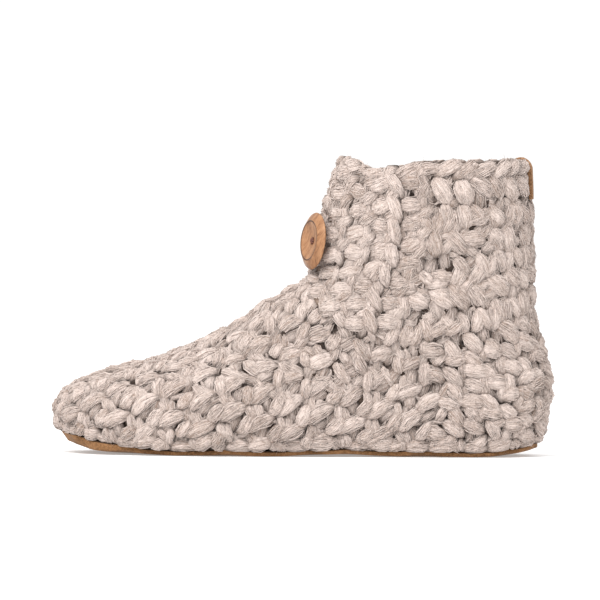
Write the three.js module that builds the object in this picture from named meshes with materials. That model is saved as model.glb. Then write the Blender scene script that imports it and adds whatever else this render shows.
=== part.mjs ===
// A crocheted wool ankle slipper for the left foot: one hollow wool upper on a thin suede sole, with a
// button band round the front of the ankle, a wooden button and a suede tab folded over the collar.
// Millimetres, +X to the toe, +Y to the wearer's left (the outer side), +Z up.
import * as THREE from "three";

// Driving dimensions. X runs from the back of the heel to the toe until the last lines centre the part.
const BALL_HALF_WIDTH = 50; // over the wool at the ball of the foot
const WALL = 7; // crocheted wall, without the rise of its stitches
const GAP = 0.3; // between two pieces that meet
const TOE_INSWING = 6; // the toe turns this far to the inner side

// Sole and insole
const SOLE_THICKNESS = 2.6;
const INSOLE_THICKNESS = 4;
const INSOLE_CLEARANCE = 0.6;
const TOE_SPRING = 8.3;
const TOE_SPRING_START_X = 200;
const HEEL_SPRING = 2.2;
const HEEL_SPRING_START_X = 36;
const ARCH_RISE = 1.2;
const ARCH_START_X = 78;
const ARCH_END_X = 150;

// Crochet relief: rounds of puffed stitches with grooves between them
const ROUNDS = 16;
const COLUMNS = 72; // two to each stitch of a round
const INNER_RINGS = 12; // the wall is plain inside
const PUFF_HIGH = 2.6;
const PUFF_LOW = 0.7;
const GROOVE = 0.8;
const RIM_CREST = 1.8; // the collar's rounded edge stands this far over the wall's ends

// Button band, lying over the front of the shaft
const BAND_THICKNESS = 4;
const BAND_EDGE_THICKNESS = 2.6;
const BAND_GAP = 0.5; // over the hollow bend of the instep
const BAND_OVER_COLLAR = 1;
const BAND_FREE_EDGE_DEG = -17; // from the front centre line, minus on the inner side
const BAND_RIB = 1.1; // its stitches run up and down, as ribs
const BAND_STEPS_ROUND = 14;
const BAND_STEPS_UP = 12;

// Button, on the band to the outer side of the front centre line
const BUTTON_RADIUS = 15;
const BUTTON_THICKNESS = 6;
const BUTTON_FACE_RADIUS = 10.8; // a wide bevel runs from the edge to this raised face
const BUTTON_DISH_RADIUS = 10.2;
const BUTTON_DISH_DEPTH = 2.4;
const BUTTON_HOLE_RADIUS = 1.6;
const BUTTON_CHAMFER = 1.5;
const BUTTON_HEIGHT = 114;
const BUTTON_TURN_DEG = 20; // its place, from the front centre line
const BUTTON_FACING_DEG = 23; // its face turns this far to the outer side
const BUTTON_TILT_DEG = 6; // and this far up
const BUTTON_STANDOFF = 2.1; // from the band at its middle; its lower edge rests on the instep's rise
const KNOT_RADIUS = 1.2;
const KNOT_HEAD_HEIGHT = 0.8;
const TURNED_STEPS = 36;
const DISH_STEPS = 4;

// Heel tab, a strip of suede folded over the back of the collar
const TAB_WIDTH = 20;
const TAB_THICKNESS = 2;
const TAB_OUTSIDE_LENGTH = 16;
const TAB_INSIDE_LENGTH = 14;
const TAB_STEPS_ACROSS = 4;
const TAB_STEPS_DOWN = 4;

// Sections of the upper from the sole seam to the collar. Each is a loop round the foot: where its front
// and back ends lie, its half width as a share of the width at the ball, how foot-shaped it is (1) or oval
// (0), the share of its length that each rounded end takes, how far it follows the sole's spring and how
// far its sides dip.
const SECTIONS = namedRows(
  ["frontX", "frontZ", "backX", "backZ", "width", "foot", "toe", "heel", "spring", "dip"],
  [
    [258, 11.2, 9.5, 5.1, 0.84, 1, 0.36, 0.15, 1, 0],
    [264, 17.4, 5, 15, 0.96, 1, 0.36, 0.15, 0.8, 0],
    [263.4, 27.5, 1.8, 31, 1, 1, 0.36, 0.16, 0.5, 0],
    [256, 36.8, 2.4, 43, 0.97, 0.95, 0.4, 0.17, 0.2, 0],
    [238, 44.4, 4.4, 51, 0.92, 0.8, 0.45, 0.2, 0, 0],
    [208, 52.3, 6.6, 58.5, 0.87, 0.5, 0.5, 0.25, 0, 0],
    [178, 65.5, 8.6, 66.5, 0.85, 0.25, 0.5, 0.32, 0, 0],
    [155, 80, 10, 76, 0.83, 0.1, 0.5, 0.4, 0, 0],
    [134.5, 90, 10.8, 87, 0.82, 0, 0.5, 0.46, 0, 0],
    [123.6, 101.5, 11.3, 99, 0.82, 0, 0.5, 0.5, 0, 0],
    [119.4, 119, 11.6, 116, 0.83, 0, 0.5, 0.5, 0, 0.6],
    [115.2, 138, 12.2, 136, 0.84, 0, 0.5, 0.5, 0, 2.6],
    [111, 155, 14.2, 153.4, 0.84, 0, 0.5, 0.5, 0, 6],
  ],
);
const COLLAR = SECTIONS.length - 1;
const DIP_SKEW = 2.6; // moves the collar's dip towards the front
const END_FULLNESS = 2.25; // 2 would round the ends as half ellipses

// The foot's plan from heel (0) to toe (1): half widths to the outer and the inner side as a share of the
// half width at the ball
const FOOT_PLAN = namedRows(
  ["along", "outer", "inner"],
  [
    [0, 0.74, 0.74],
    [0.18, 0.76, 0.74],
    [0.34, 0.8, 0.74],
    [0.5, 0.9, 0.83],
    [0.62, 0.98, 0.95],
    [0.72, 1, 1],
    [1, 1, 1],
  ],
);
const INSWING_START = 0.4; // along the same line
const INSWING_END = 1.1;

// The band's outer edge, up from its point at the side of the ankle: section number, and the turn from the
// front centre line. Its lower edge runs from that point to the front, where the shaft leaves the instep.
const BAND_EDGE = namedRows(
  ["section", "turnDeg"],
  [
    [6.1, 86],
    [7, 78],
    [8, 71],
    [9, 69],
    [10, 69],
    [12, 62],
  ],
);
const BAND_FRONT_SECTION = 7.9;
const BAND_FRONT_DEG = 22; // the lower edge is level up to here

// The tab's fold over the collar: its place across the wall, from the outside (0) to the inside (1), and the
// shares of the collar's crest and of its own lift that it rises
const TAB_FOLD = namedRows(
  ["across", "crest", "lift"],
  [
    [0, 0, 0.6],
    [0.12, 1, 1],
    [0.5, 1, 1.15],
    [0.88, 1, 1],
    [1, 0, 0.6],
  ],
);

// The wall is smooth under the band and the tab, and for this far round them
const COVER_MARGIN_DEG = 10;
const COVER_MARGIN_SECTIONS = 0.7;
const TAB_COVER_DEG = 50;
const TAB_COVER_SECTIONS = 2;

const FINISHES = {
  wool: { color: 0xcfc2b6, roughness: 1 },
  suede: { color: 0x9a6a35, roughness: 0.95 },
  felt: { color: 0xb9aa9c, roughness: 1 },
  wood: { color: 0xc8935c, roughness: 0.55 },
  cord: { color: 0x6b3a22, roughness: 0.8 },
};

function namedRows(columns, rows) {
  return rows.map((row) => Object.fromEntries(columns.map((column, index) => [column, row[index]])));
}

// Smooth value of one column of a table; the position counts rows
function splineColumn(rows, key, position) {
  const last = rows.length - 1;
  const low = Math.min(Math.max(Math.floor(position), 0), last - 1);
  const u = position - low;
  const at = (index) => rows[Math.min(Math.max(index, 0), last)][key];
  const slopeLow = (at(low + 1) - at(low - 1)) / 2;
  const slopeHigh = (at(low + 2) - at(low)) / 2;
  const rise = at(low + 1) - at(low);
  const bend = slopeLow + slopeHigh - 2 * rise;
  return at(low) + u * (slopeLow + u * (3 * rise - 2 * slopeLow - slopeHigh + u * bend));
}

// The same at a given value of another, rising column
function columnAt(rows, argument, key, value) {
  const next = rows.findIndex((row) => row[argument] >= value);
  if (next < 0) return rows[rows.length - 1][key];
  if (next === 0) return rows[0][key];
  const from = rows[next - 1][argument];
  const share = (value - from) / (rows[next][argument] - from);
  return splineColumn(rows, key, next - 1 + share);
}

// Height of the sole's underside over the floor: flat at heel and ball, up at the toe, heel and arch
function soleLift(x) {
  const toe = Math.max(0, (x - TOE_SPRING_START_X) / (SECTIONS[0].frontX - TOE_SPRING_START_X));
  const heel = Math.max(0, (HEEL_SPRING_START_X - x) / (HEEL_SPRING_START_X - SECTIONS[0].backX));
  const arch = THREE.MathUtils.clamp((x - ARCH_START_X) / (ARCH_END_X - ARCH_START_X), 0, 1);
  return TOE_SPRING * toe ** 2 + HEEL_SPRING * heel ** 2 + ARCH_RISE * Math.sin(Math.PI * arch) ** 2;
}

// A rounded end that takes the given share of the length
function roundedEnd(along, share) {
  const left = Math.max(0, 1 - along / share);
  return (1 - left ** END_FULLNESS) ** (1 / END_FULLNESS);
}

// Point of the upper's outer form. Turn goes from the back centre line (0) over the outer side to the front
// centre line (pi) and back over the inner side.
function formPoint(section, turn) {
  const value = (key) => splineColumn(SECTIONS, key, section);
  const along = (1 - Math.cos(turn)) / 2;
  const x = THREE.MathUtils.lerp(value("backX"), value("frontX"), along);
  const side = Math.sign(Math.sin(turn));
  const foot = value("foot");
  const plan = 1 - foot * (1 - columnAt(FOOT_PLAN, "along", side > 0 ? "outer" : "inner", along));
  const ends = roundedEnd(along, value("heel")) * roundedEnd(1 - along, value("toe"));
  const halfWidth = BALL_HALF_WIDTH * value("width") * plan * ends;
  const inswing = TOE_INSWING * foot * THREE.MathUtils.smoothstep(along, INSWING_START, INSWING_END);
  const spring = value("spring");
  const frontLevel = value("frontZ") - spring * soleLift(value("frontX"));
  const backLevel = value("backZ") - spring * soleLift(value("backX"));
  const level = THREE.MathUtils.lerp(backLevel, frontLevel, along);
  const dip = value("dip") * Math.sin(Math.PI * along ** DIP_SKEW) ** 2;
  return new THREE.Vector3(x, side * halfWidth - inswing, level + spring * soleLift(x) - dip);
}

// Outward direction of that form. At the sole seam, where the form turns under, it is kept level.
function formNormal(section, turn) {
  const step = 0.02;
  const low = Math.max(0, section - step);
  const high = Math.min(COLLAR, section + step);
  const up = formPoint(high, turn).sub(formPoint(low, turn));
  const round = formPoint(section, turn + step).sub(formPoint(section, turn - step));
  const normal = up.cross(round).normalize();
  if (section < 1) normal.z = Math.max(normal.z, 0);
  return normal.normalize();
}

function wallPoint(section, turn, outward) {
  return formPoint(section, turn).addScaledVector(formNormal(section, turn), outward);
}

// The same at the sole seam, lowered on to the sole's top
function seamPoint(turn, outward) {
  const point = wallPoint(0, turn, outward);
  point.z = soleLift(point.x) + SOLE_THICKNESS + GAP;
  return point;
}

const turnOf = (column) => (2 * Math.PI * column) / COLUMNS;

// Turn from the front centre line, plus on the outer side
const frontTurn = (degrees) => Math.PI - THREE.MathUtils.degToRad(degrees);

const bandEdgeDeg = (section) => columnAt(BAND_EDGE, "section", "turnDeg", section);

// The band's lower edge: the section where it starts at a turn from the front centre line
function bandStart(degrees) {
  const share = THREE.MathUtils.smoothstep(degrees, BAND_FRONT_DEG, BAND_EDGE[0].turnDeg);
  return THREE.MathUtils.lerp(BAND_FRONT_SECTION, BAND_EDGE[0].section, share);
}

// True where the wall is kept smooth because the band or the heel tab lies on it
function isCovered(section, turn) {
  const degrees = THREE.MathUtils.radToDeg(Math.PI - turn);
  const inBand =
    degrees > BAND_FREE_EDGE_DEG - COVER_MARGIN_DEG &&
    degrees < bandEdgeDeg(section) + COVER_MARGIN_DEG &&
    section > bandStart(degrees) - COVER_MARGIN_SECTIONS;
  const underTab = section > COLLAR - TAB_COVER_SECTIONS && Math.abs(degrees) > 180 - TAB_COVER_DEG;
  return inBand || underTab;
}

// Puffs alternate along a round, and from one round to the next
const isPuff = (round, column) => (column + round) % 2 === 0;

// Rise of the stitches over the form: a groove on even rings, high and low puffs on odd ones
function stitchRise(ring, column, section, turn) {
  if (isCovered(section, turn)) return 0;
  if (ring % 2 === 0) return -GROOVE;
  return isPuff((ring - 1) / 2, column) ? PUFF_HIGH : PUFF_LOW;
}

// Closed solid from points and triangles, turned so that its faces point outwards
function closedGeometry(points, triangles) {
  let volume = 0;
  for (const [a, b, c] of triangles) {
    volume += points[a].dot(new THREE.Vector3().crossVectors(points[b], points[c]));
  }
  const facing = volume > 0 ? triangles : triangles.map(([a, b, c]) => [a, c, b]);
  const geometry = new THREE.BufferGeometry().setFromPoints(points);
  geometry.setIndex(facing.flat());
  geometry.computeVertexNormals();
  return geometry;
}

const quad = (a, b, c, d) => [
  [a, b, c],
  [a, c, d],
];

// Solid between loops that follow each other round a wall and come back to the first one. The diagonal of
// each cell runs through its puff.
function loopSolid(loops) {
  const points = loops.flat();
  const count = loops[0].length;
  const triangles = [];
  loops.forEach((_, loop) => {
    const next = (loop + 1) % loops.length;
    for (let i = 0; i < count; i++) {
      const j = (i + 1) % count;
      const cell = [loop * count + i, loop * count + j, next * count + j, next * count + i];
      const isFromFirst = isPuff(Math.floor(loop / 2) + (loop % 2 === 1 ? 0 : 1), i);
      triangles.push(...(isFromFirst ? quad(...cell) : quad(...cell.slice(1), cell[0])));
    }
  });
  return closedGeometry(points, triangles);
}

// Solid between two grids of points of the same size
function slabSolid(outerRows, innerRows) {
  const rows = outerRows.length;
  const across = outerRows[0].length;
  const points = [...outerRows.flat(), ...innerRows.flat()];
  const outer = (row, column) => row * across + column;
  const inner = (row, column) => rows * across + outer(row, column);
  const triangles = [];
  for (let i = 0; i + 1 < rows; i++) {
    for (let j = 0; j + 1 < across; j++) {
      triangles.push(...quad(outer(i, j), outer(i, j + 1), outer(i + 1, j + 1), outer(i + 1, j)));
      triangles.push(...quad(inner(i, j), inner(i + 1, j), inner(i + 1, j + 1), inner(i, j + 1)));
    }
  }
  const side = (i, j, k, l) => triangles.push(...quad(outer(i, j), inner(i, j), inner(k, l), outer(k, l)));
  for (let j = 0; j + 1 < across; j++) {
    side(0, j, 0, j + 1);
    side(rows - 1, j + 1, rows - 1, j);
  }
  for (let i = 0; i + 1 < rows; i++) {
    side(i + 1, 0, i, 0);
    side(i, across - 1, i + 1, across - 1);
  }
  return closedGeometry(points, triangles);
}

const columnList = [...Array(COLUMNS).keys()];

// Section numbers that share the way up the upper evenly, measured along its front, outer side and back
function evenSections(count) {
  const step = 0.05;
  const lines = [0, Math.PI / 2, Math.PI];
  const ways = [0];
  while (ways.length * step < COLLAR) {
    const section = ways.length * step;
    const added = lines.map((turn) => formPoint(section, turn).distanceTo(formPoint(section - step, turn)));
    ways.push(ways[ways.length - 1] + added[0] + added[1] + added[2]);
  }
  const share = ways[ways.length - 1] / count;
  const sectionAt = (length) => ways.findIndex((way) => way >= length) * step;
  return [...Array.from({ length: count }, (_, ring) => sectionAt(share * ring)), COLLAR];
}

// The upper: stitched rounds outside, a rounded collar, a plain wall inside, open at collar and sole
function upperGeometry() {
  const rings = 2 * ROUNDS;
  const sections = evenSections(rings);
  const innerSections = evenSections(INNER_RINGS);
  const loops = [columnList.map((column) => seamPoint(turnOf(column), 0))];
  for (let ring = 1; ring <= rings; ring++) {
    const section = sections[ring];
    const rise = (column) => (ring === rings ? 0 : stitchRise(ring, column, section, turnOf(column)));
    loops.push(columnList.map((column) => wallPoint(section, turnOf(column), rise(column))));
  }
  const crest = columnList.map((column) => wallPoint(COLLAR, turnOf(column), -WALL / 2));
  crest.forEach((point) => (point.z += RIM_CREST));
  loops.push(crest);
  for (let ring = INNER_RINGS; ring > 0; ring--) {
    loops.push(columnList.map((column) => wallPoint(innerSections[ring], turnOf(column), -WALL)));
  }
  loops.push(columnList.map((column) => seamPoint(turnOf(column), -WALL)));
  return loopSolid(loops);
}

// A thin plate along the foot: rungs from the outer to the inner edge, each bent up with the sole
function plateGeometry(inset, bottom, thickness) {
  const rungs = columnList.slice(1, COLUMNS / 2);
  const rows = (height) =>
    rungs.map((column) =>
      [column, COLUMNS - column].map((edge) => {
        const point = wallPoint(0, turnOf(edge), -inset);
        point.z = soleLift(point.x) + bottom + height;
        return point;
      }),
    );
  return slabSolid(rows(thickness), rows(0));
}

// The button band: a strip of even thickness with thinner edges, cut from the upper's own form
function bandGeometry() {
  const grid = (layer) =>
    Array.from({ length: BAND_STEPS_UP + 1 }, (_, up) =>
      Array.from({ length: BAND_STEPS_ROUND + 1 }, (_, round) => {
        const share = round / BAND_STEPS_ROUND;
        const lowDeg = THREE.MathUtils.lerp(BAND_EDGE[0].turnDeg, BAND_FREE_EDGE_DEG, share);
        const section = THREE.MathUtils.lerp(bandStart(lowDeg), COLLAR, up / BAND_STEPS_UP);
        const degrees = THREE.MathUtils.lerp(bandEdgeDeg(section), BAND_FREE_EDGE_DEG, share);
        const middle = Math.sin(Math.PI * share) ** 0.5 * Math.min(1, (3 * up) / BAND_STEPS_UP);
        const rib = round % 2 === 1 ? BAND_RIB : 0;
        const thickness = THREE.MathUtils.lerp(BAND_EDGE_THICKNESS, BAND_THICKNESS - rib, middle);
        const point = wallPoint(section, frontTurn(degrees), BAND_GAP + layer * thickness);
        if (up === BAND_STEPS_UP) point.z += BAND_OVER_COLLAR;
        return point;
      }),
    );
  return slabSolid(grid(1), grid(0));
}

// A solid turned round +Y from points of radius and height
function turnedGeometry(profile, steps) {
  return new THREE.LatheGeometry(profile.map(([radius, height]) => new THREE.Vector2(radius, height)), steps);
}

// The button: a turned disc with a dished face and one hole, its back at the origin and its axis along +Y
function buttonGeometry() {
  const dish = Array.from({ length: DISH_STEPS + 1 }, (_, step) => {
    const radius = THREE.MathUtils.lerp(BUTTON_DISH_RADIUS, BUTTON_HOLE_RADIUS, step / DISH_STEPS);
    const depth = BUTTON_DISH_DEPTH * (1 - (radius / BUTTON_DISH_RADIUS) ** 2);
    return [radius, BUTTON_THICKNESS - depth];
  });
  const profile = [
    [BUTTON_HOLE_RADIUS, 0],
    [BUTTON_RADIUS - BUTTON_CHAMFER, 0],
    [BUTTON_RADIUS, BUTTON_CHAMFER],
    [BUTTON_RADIUS, BUTTON_THICKNESS / 2],
    [BUTTON_FACE_RADIUS, BUTTON_THICKNESS],
    ...dish,
    [BUTTON_HOLE_RADIUS, 0],
  ];
  return turnedGeometry(profile, TURNED_STEPS);
}

// The knot of the cord that sews the button on: from the band through the hole to a small head
function knotGeometry() {
  const bottom = GAP - BUTTON_STANDOFF;
  const top = BUTTON_THICKNESS - BUTTON_DISH_DEPTH;
  const profile = [
    [0, bottom],
    [KNOT_RADIUS, bottom],
    [KNOT_RADIUS, top],
    [KNOT_RADIUS / 2, top + KNOT_HEAD_HEIGHT],
    [0, top + KNOT_HEAD_HEIGHT],
  ];
  return turnedGeometry(profile, TURNED_STEPS / 3);
}

// The heel tab: one strip that goes up the outside of the collar, over it and down the inside
function tabGeometry() {
  const sectionHeight = formPoint(COLLAR, 0).z - formPoint(COLLAR - 1, 0).z;
  let halfTurn = 0;
  while (formPoint(COLLAR, halfTurn).y < TAB_WIDTH / 2) halfTurn += 0.002;
  const stripAt = (turn, layer) => {
    const lift = GAP + layer * TAB_THICKNESS;
    const leg = (length, outward) =>
      Array.from({ length: TAB_STEPS_DOWN }, (_, step) => {
        const drop = (length * (step + 1)) / TAB_STEPS_DOWN;
        return wallPoint(COLLAR - drop / sectionHeight, turn, outward);
      });
    const fold = TAB_FOLD.map((row) => {
      const across = THREE.MathUtils.lerp(lift * (1 - row.crest), -WALL - lift * (1 - row.crest), row.across);
      const point = wallPoint(COLLAR, turn, across);
      point.z += row.crest * RIM_CREST + row.lift * lift;
      return point;
    });
    return [...leg(TAB_OUTSIDE_LENGTH, lift).reverse(), ...fold, ...leg(TAB_INSIDE_LENGTH, -WALL - lift)];
  };
  const grid = (layer) =>
    Array.from({ length: TAB_STEPS_ACROSS + 1 }, (_, across) =>
      stripAt(halfTurn * ((2 * across) / TAB_STEPS_ACROSS - 1), layer),
    );
  return slabSolid(grid(1), grid(0));
}

function makePiece(name, geometry, finish) {
  const mesh = new THREE.Mesh(geometry, new THREE.MeshStandardMaterial({ ...finish, metalness: 0 }));
  mesh.name = name;
  return mesh;
}

// Where the button sits, in front of the band's outer face
function placeOnBand(mesh) {
  const turn = frontTurn(BUTTON_TURN_DEG);
  let section = COLLAR;
  while (formPoint(section, turn).z > BUTTON_HEIGHT) section -= 0.01;
  mesh.position.copy(wallPoint(section, turn, BAND_GAP + BAND_THICKNESS + BUTTON_STANDOFF));
  const facing = THREE.MathUtils.degToRad(90 - BUTTON_FACING_DEG);
  const polar = THREE.MathUtils.degToRad(90 - BUTTON_TILT_DEG);
  const spherical = new THREE.Vector3().setFromSphericalCoords(1, polar, facing);
  const axis = new THREE.Vector3(spherical.x, spherical.z, spherical.y);
  mesh.quaternion.setFromUnitVectors(new THREE.Vector3(0, 1, 0), axis);
  return mesh;
}

const slipper = new THREE.Group();
const insoleInset = WALL + INSOLE_CLEARANCE;
slipper.add(
  makePiece("outsole", plateGeometry(0, 0, SOLE_THICKNESS), FINISHES.suede),
  makePiece("insole", plateGeometry(insoleInset, SOLE_THICKNESS + GAP, INSOLE_THICKNESS), FINISHES.felt),
  makePiece("upper", upperGeometry(), FINISHES.wool),
  makePiece("button_band", bandGeometry(), FINISHES.wool),
  placeOnBand(makePiece("button", buttonGeometry(), FINISHES.wood)),
  placeOnBand(makePiece("button_knot", knotGeometry(), FINISHES.cord)),
  makePiece("heel_tab", tabGeometry(), FINISHES.suede),
);

// The origin is under the middle of the slipper, on the floor
const box = new THREE.Box3().setFromObject(slipper, true);
const centre = box.getCenter(new THREE.Vector3());
slipper.position.set(-centre.x, -centre.y, 0);

export default slipper;
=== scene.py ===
import math

import bmesh
import bpy
import numpy as np
from mathutils import Matrix, Vector


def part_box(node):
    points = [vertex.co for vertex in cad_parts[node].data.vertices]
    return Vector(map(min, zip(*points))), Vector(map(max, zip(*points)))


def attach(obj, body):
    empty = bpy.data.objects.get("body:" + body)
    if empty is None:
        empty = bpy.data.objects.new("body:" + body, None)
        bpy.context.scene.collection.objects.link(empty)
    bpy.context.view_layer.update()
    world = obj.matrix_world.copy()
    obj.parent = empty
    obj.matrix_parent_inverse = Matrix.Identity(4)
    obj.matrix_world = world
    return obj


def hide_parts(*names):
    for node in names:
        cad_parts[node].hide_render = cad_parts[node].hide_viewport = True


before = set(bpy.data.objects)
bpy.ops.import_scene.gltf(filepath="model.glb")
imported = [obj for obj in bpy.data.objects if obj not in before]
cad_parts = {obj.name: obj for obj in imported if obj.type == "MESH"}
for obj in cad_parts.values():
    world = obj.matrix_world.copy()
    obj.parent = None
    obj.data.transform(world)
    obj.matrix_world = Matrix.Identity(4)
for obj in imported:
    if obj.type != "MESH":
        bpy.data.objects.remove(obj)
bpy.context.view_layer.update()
mm = 0.001  # sizes below are in millimetres, meshes are in metres
rng = np.random.default_rng(7)
print("frame:", len(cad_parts), "solids")

# The last, on the solids' sections: loops of the wool wall from the sole seam to the collar. The heel springs
# a little more than in the solids, and the collar dips further forward
last = {
    "ballHalfWidth": 50, "toeInswing": 6, "inswingFrom": 0.4, "inswingTo": 1.1,
    "endFullness": 2.25, "dipSkew": 3.6, "wall": 7, "soleThickness": 2.6, "gap": 0.3,
    "toeSpring": 8.3, "toeSpringX": 200, "heelSpring": 4.6, "heelSpringX": 42,
    "archRise": 1.2, "archX": (78, 150), "slopeStep": 0.03,
}
sectionNames = ("frontX", "frontZ", "backX", "backZ", "width", "foot", "toe", "heel", "spring", "dip")
sectionRows = (
    (258, 11.2, 9.5, 5.1, 0.84, 1, 0.36, 0.15, 1, 0),
    (264, 17.4, 5, 15, 0.96, 1, 0.36, 0.15, 0.8, 0),
    (263.4, 27.5, 1.8, 31, 1, 1, 0.36, 0.16, 0.5, 0),
    (256, 36.8, 2.4, 43, 0.97, 0.95, 0.4, 0.17, 0.2, 0),
    (238, 44.4, 4.4, 51, 0.92, 0.8, 0.45, 0.2, 0, 0),
    (208, 52.3, 6.6, 58.5, 0.87, 0.5, 0.5, 0.25, 0, 0),
    (178, 65.5, 8.6, 66.5, 0.85, 0.25, 0.5, 0.32, 0, 0),
    (155, 80, 10, 76, 0.83, 0.1, 0.5, 0.4, 0, 0),
    (134.5, 90, 10.8, 87, 0.82, 0, 0.5, 0.46, 0, 0),
    (123.6, 101.5, 11.3, 99, 0.82, 0, 0.5, 0.5, 0, 0),
    (119.4, 119, 11.6, 116, 0.83, 0, 0.5, 0.5, 0, 0.6),
    (115.2, 138, 12.2, 136, 0.84, 0, 0.5, 0.5, 0, 2.6),
    (111, 155, 14.2, 153.4, 0.84, 0, 0.5, 0.5, 0, 6),
)
sections = dict(zip(sectionNames, np.array(sectionRows, float).T))
collar = len(sectionRows) - 1
planRows = (  # along the foot, half width to the outer and to the inner side
    (0, 0.74, 0.74), (0.18, 0.76, 0.74), (0.34, 0.8, 0.74), (0.5, 0.9, 0.83),
    (0.62, 0.98, 0.95), (0.72, 1, 1), (1, 1, 1),
)
planAlong, planOuter, planInner = np.array(planRows, float).T


def smooth(value, start, end):
    share = np.clip((np.asarray(value, float) - start) / (end - start), 0, 1)
    return share * share * (3 - 2 * share)


def spline(values, position):
    top = len(values) - 1
    low = np.clip(np.floor(position), 0, top - 1).astype(int)
    u = position - low
    at = lambda index: values[np.clip(index, 0, top)]
    slopeLow, slopeHigh = (at(low + 1) - at(low - 1)) / 2, (at(low + 2) - at(low)) / 2
    rise = at(low + 1) - at(low)
    bend = slopeLow + slopeHigh - 2 * rise
    return at(low) + u * (slopeLow + u * (3 * rise - 2 * slopeLow - slopeHigh + u * bend))


def soleLift(x):
    toe = np.maximum(0, (x - last["toeSpringX"]) / (sections["frontX"][0] - last["toeSpringX"]))
    heel = np.maximum(0, (last["heelSpringX"] - x) / (last["heelSpringX"] - sections["backX"][0]))
    arch = np.clip((x - last["archX"][0]) / (last["archX"][1] - last["archX"][0]), 0, 1)
    archLift = last["archRise"] * np.sin(np.pi * arch) ** 2
    return last["toeSpring"] * toe**2 + last["heelSpring"] * heel**2 + archLift


# Where the wall stands on the sole
def soleTop(x):
    return soleLift(x) + last["soleThickness"] + last["gap"]


def roundedEnd(along, share):
    left = np.clip(1 - along / share, 0, 1)
    return (1 - left ** last["endFullness"]) ** (1 / last["endFullness"])


# A point of the wall's outer form. Turn goes from the back (0) over the outer side to the front (pi)
def formPoints(section, turn):
    section, turn = np.broadcast_arrays(np.asarray(section, float), np.asarray(turn, float))
    col = {key: spline(values, section) for key, values in sections.items()}
    along = (1 - np.cos(turn)) / 2
    x = col["backX"] + (col["frontX"] - col["backX"]) * along
    side = np.where(np.sin(turn) >= 0, 1.0, -1.0)
    place = np.interp(along, planAlong, np.arange(len(planAlong)))
    plan = np.where(side > 0, spline(planOuter, place), spline(planInner, place))
    ends = roundedEnd(along, col["heel"]) * roundedEnd(1 - along, col["toe"])
    half = last["ballHalfWidth"] * col["width"] * (1 - col["foot"] * (1 - plan)) * ends
    inswing = last["toeInswing"] * col["foot"] * smooth(along, last["inswingFrom"], last["inswingTo"])
    front = col["frontZ"] - col["spring"] * soleLift(col["frontX"])
    back = col["backZ"] - col["spring"] * soleLift(col["backX"])
    dip = col["dip"] * np.sin(np.pi * along ** last["dipSkew"]) ** 2
    z = back + (front - back) * along + col["spring"] * soleLift(x) - dip
    return np.stack([x, side * half - inswing, z], -1)


def unit(vectors):
    return vectors / np.maximum(np.linalg.norm(vectors, axis=-1, keepdims=True), 1e-9)


# The length along a line of points, at each of them
def lengthAlong(points):
    return np.append(0, np.cumsum(np.linalg.norm(np.diff(points, axis=0), axis=1)))


def formSlopes(section, turn):
    step = last["slopeStep"]
    up = formPoints(section + step, turn) - formPoints(section - step, turn)
    around = formPoints(section, turn + step) - formPoints(section, turn - step)
    return up / (2 * step), around / (2 * step)


def formNormals(section, turn):
    section, step = np.asarray(section, float), last["slopeStep"]
    up, around = formSlopes(np.clip(section, step, collar - step), turn)
    normal = np.cross(up, around)  # by the sole seam it never points down
    normal[..., 2] = np.where(section < 1, np.maximum(normal[..., 2], 0), normal[..., 2])
    return unit(normal)


def wallPoints(section, turn, outward):
    return formPoints(section, turn) + formNormals(section, turn) * np.asarray(outward)[..., None]


# The solids are centred on their box: the far corner of the sole's box gives the shift
soleEdge = formPoints(0, 2 * np.pi * np.arange(1, 36) / 72)  # the outer half of 72 steps
soleHigh = np.array(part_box("outsole")[1]) / mm
shift = np.array([soleHigh[0] - soleEdge[:, 0].max(), soleHigh[1] - soleEdge[:, 1].max(), 0])


def place(points):
    return (np.asarray(points, float) + shift) * mm


# Rounds of stitches: the way over the wall from the sole seam, turned level with the collar at the top
rounds = {"sectionSteps": 121, "turnSteps": 240, "lineSteps": 720, "smoothing": 6, "reach": 2, "passes": 400,
          "far": 1e3, "settled": 1e-6}


def wayFrom(grid, startRow):
    count = len(grid)
    way = np.full(grid.shape[:2], rounds["far"])
    way[startRow] = 0
    moves = []
    steps = range(-rounds["reach"], rounds["reach"] + 1)
    for up in steps:
        for around in steps:
            if math.gcd(up, around) != 1:
                continue
            here = slice(max(0, -up), count - max(0, up))
            there = slice(max(0, up), count - max(0, -up))
            cost = np.linalg.norm(grid[here] - np.roll(grid, -around, 1)[there], axis=-1)
            moves.append((here, there, around, cost))
    for _ in range(rounds["passes"]):
        before = way.copy()
        for here, there, around, cost in moves:
            way[here] = np.minimum(way[here], np.roll(way, -around, 1)[there] + cost)
        if np.abs(before - way).max() < rounds["settled"]:
            break
    return way


sectionGrid = np.linspace(0, collar, rounds["sectionSteps"])
turnGrid = np.linspace(0, 2 * np.pi, rounds["turnSteps"], endpoint=False)
wallGrid = formPoints(sectionGrid[:, None], turnGrid[None, :])
fromSole, fromRim = wayFrom(wallGrid, 0), wayFrom(wallGrid, -1)
wallHeight = fromSole[-1, 0]
upShare = fromSole / (fromSole + fromRim)
roundField = fromSole + (wallHeight - fromSole - fromRim) * upShare**2
for _ in range(rounds["smoothing"]):
    roundField = (np.roll(roundField, 1, 1) + 2 * roundField + np.roll(roundField, -1, 1)) / 4
roundField = np.maximum.accumulate(roundField, 0)
print("rounds: wall height", round(wallHeight, 1), "mm")


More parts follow.
